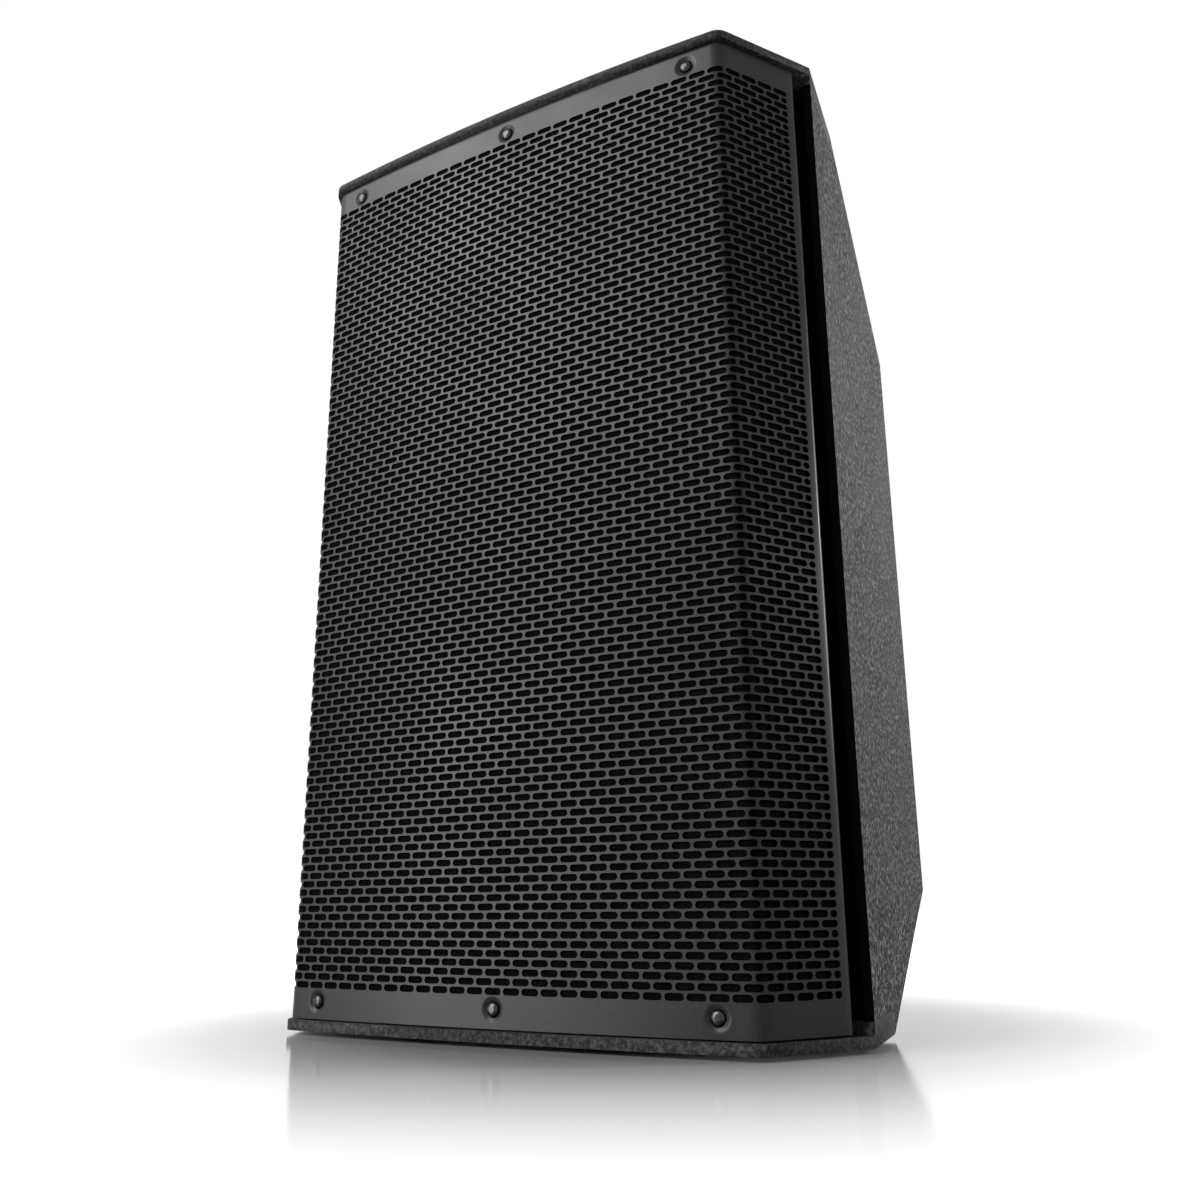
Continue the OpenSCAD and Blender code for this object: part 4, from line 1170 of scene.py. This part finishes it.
@dataclass
class Studio:
    """Pale floor, soft lamps and the camera.

    Each lamp has a place, the point that it faces, its size and its power.
    """

    camera_place: Place = (0.4444, -0.8270, 0.0842)
    camera_turn: Place = (105.408, 0.477, 30.003)
    lens: float = 33.756
    sensor_width: float = 36.0
    floor_half: float = 40.0
    room_light: float = 0.07
    lamps: dict[str, tuple[Place, Place, float, float]] = field(
        default_factory=lambda: {
            "front_soft_box": ((-1.7, -2.8, 2.5), (0.0, -0.1, 0.5), 2.2, 215.0),
            "rear_side_soft_box": ((1.3, 2.7, 1.6), (0.2, 0.0, 0.4), 1.0, 38.0),
            "edge_soft_box": ((2.1, 1.25, 1.0), (0.2, -0.1, 0.35), 0.5, 55.0),
            "low_soft_box": ((-1.6, -2.4, 0.5), (0.0, -0.2, 0.25), 1.0, 50.0),
        }
    )

    def build(self) -> None:
        """Makes the whole studio."""
        scene = bpy.context.scene
        scene.view_settings.view_transform = "Standard"
        self.floor()
        self.world(scene)
        for name, (place, aim, size, power) in self.lamps.items():
            lamp = bpy.data.lights.new(name, "AREA")
            lamp.shape = "SQUARE"
            lamp.size = size
            lamp.energy = power
            box = bpy.data.objects.new(name, lamp)
            box.location = place
            box.rotation_euler = (Vector(aim) - Vector(place)).to_track_quat("-Z", "Y").to_euler()
            scene.collection.objects.link(box)
        camera = bpy.data.cameras.new("camera")
        camera.lens = self.lens
        camera.sensor_width = self.sensor_width
        camera.clip_end = 60.0
        stand = bpy.data.objects.new("camera", camera)
        stand.location = self.camera_place
        stand.rotation_euler = tuple(math.radians(a) for a in self.camera_turn)
        scene.collection.objects.link(stand)
        scene.camera = stand

    def floor(self) -> None:
        """Adds the pale floor: white to the camera far off, fading near the middle to a painted
        grey shade round the base, in which its real shadow shows.
        """
        bm = bmesh.new()
        bmesh.ops.create_grid(bm, x_segments=1, y_segments=1, size=self.floor_half)
        mesh = bpy.data.meshes.new("floor")
        bm.to_mesh(mesh)
        bm.free()
        floor = bpy.data.objects.new("floor", mesh)
        bpy.context.scene.collection.objects.link(floor)
        made = bpy.data.materials.new("pale floor")
        made.use_nodes = True
        tree = made.node_tree
        shader = tree.nodes["Principled BSDF"]
        shader.inputs["Base Color"].default_value = linear("808080")
        shader.inputs["Roughness"].default_value = 0.12
        shader.inputs["Specular IOR Level"].default_value = 0.35
        shader.inputs["Emission Color"].default_value = (1, 1, 1, 1)
        coords = add_node(tree, "ShaderNodeTexCoord")
        away = add_node(
            tree, "ShaderNodeVectorMath", {0: coords.outputs["Object"]}, operation="LENGTH"
        )
        # Painted shade: the floor's white glow falls to nothing within 0.2 m of the middle,
        # darkening the floor round the base.
        painted_shade_ramp = add_node(
            tree,
            "ShaderNodeMapRange",
            {"Value": away.outputs["Value"], "From Min": 0.2, "From Max": 0.64, "To Min": 0.0},
            interpolation_type="SMOOTHSTEP",
        )
        lift = add_node(
            tree,
            "ShaderNodeMath",
            {0: self.seen(tree), 1: painted_shade_ramp.outputs["Result"]},
            operation="MULTIPLY",
        )
        tree.links.new(lift.outputs["Value"], shader.inputs["Emission Strength"])
        mesh.materials.append(made)

    def seen(self, tree: bpy.types.NodeTree) -> bpy.types.NodeSocket:
        """Tells rays that look at the surroundings from rays that light the object.

        Args:
            tree: the node tree to add to.

        Returns:
            A socket that is 1 for camera, glossy and transmission rays.
        """
        path = add_node(tree, "ShaderNodeLightPath")
        direct = add_node(
            tree,
            "ShaderNodeMath",
            {0: path.outputs["Is Camera Ray"], 1: path.outputs["Is Glossy Ray"]},
            operation="MAXIMUM",
        )
        return add_node(
            tree,
            "ShaderNodeMath",
            {0: direct.outputs["Value"], 1: path.outputs["Is Transmission Ray"]},
            operation="MAXIMUM",
        ).outputs["Value"]

    def world(self, scene: bpy.types.Scene) -> None:
        """Lights the room softly and shows white behind the object."""
        world = bpy.data.worlds.new("studio")
        scene.world = world
        world.use_nodes = True
        tree = world.node_tree
        tree.nodes.clear()
        room = add_node(
            tree, "ShaderNodeBackground", {"Color": (1, 1, 1, 1), "Strength": self.room_light}
        )
        white = add_node(
            tree, "ShaderNodeBackground", {"Color": (1, 1, 1, 1), "Strength": 1.0}
        )
        mixed = add_node(
            tree,
            "ShaderNodeMixShader",
            {0: self.seen(tree), 1: room.outputs[0], 2: white.outputs[0]},
        )
        add_node(tree, "ShaderNodeOutputWorld", {"Surface": mixed.outputs[0]})


# ---- The speaker -------------------------------------------------------------------------------


@dataclass
class Speaker:
    """The whole cabinet."""

    foot: float = 0.003
    height: float = 0.700
    depth: float = 0.400

    def build(self) -> None:
        """Dresses the carried nodes and builds the detailed pieces."""
        for finish, nodes in CARRIED.items():
            for node in nodes:
                finish.dress(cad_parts[node])
        log.info("dressed %d carried nodes", sum(len(n) for n in CARRIED.values()))
        plan = FrontPlan(crown_y=-self.depth / 2, base_z=self.foot)
        grille = Grille(plan)
        grille.build()
        GrilleScrews(grille).build()
        GrilleFoam(plan).build()
        self.shell()
        self.controls()

    def shell(self) -> None:
        """Builds the four boards whose edges show."""
        top = self.foot + self.height
        flat = 2e-4
        PaintedBoard(
            "top_panel",
            lambda a, b: abs(a.z - top) < flat and abs(b.z - top) < flat and min(a.y, b.y) < -0.05,
        ).build()
        PaintedBoard(
            "bottom_panel",
            lambda a, b: abs(a.z - self.foot) < flat
            and abs(b.z - self.foot) < flat
            and abs(a.x) > 0.1
            and min(a.y, b.y) < -0.05,
        ).build()
        for node in ("right_side_panel", "left_side_panel"):
            PaintedBoard(node, lambda a, b: False, lit_flank=ROLLED_PAINT_LIT_COPY).build()


    def controls(self) -> None:
        """Builds the knobs and the marks round them."""
        places: list[tuple[float, float]] = []
        for node in ("gain_knob_1", "gain_knob_2", "master_knob"):
            low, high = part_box(node)
            x, z = (low[0] + high[0]) / 2, (low[2] + high[2]) / 2
            knob = Knob(node, x, z)
            knob.body()
            knob.pointer()
            places.append((x, z))
        PanelPrint(tuple(places)).build()


def main() -> None:
    """Builds the speaker and its studio."""
    logging.basicConfig(level=logging.INFO, format="%(name)s: %(message)s")
    Speaker().build()
    Studio().build()


if __name__ == "__main__":
    main()
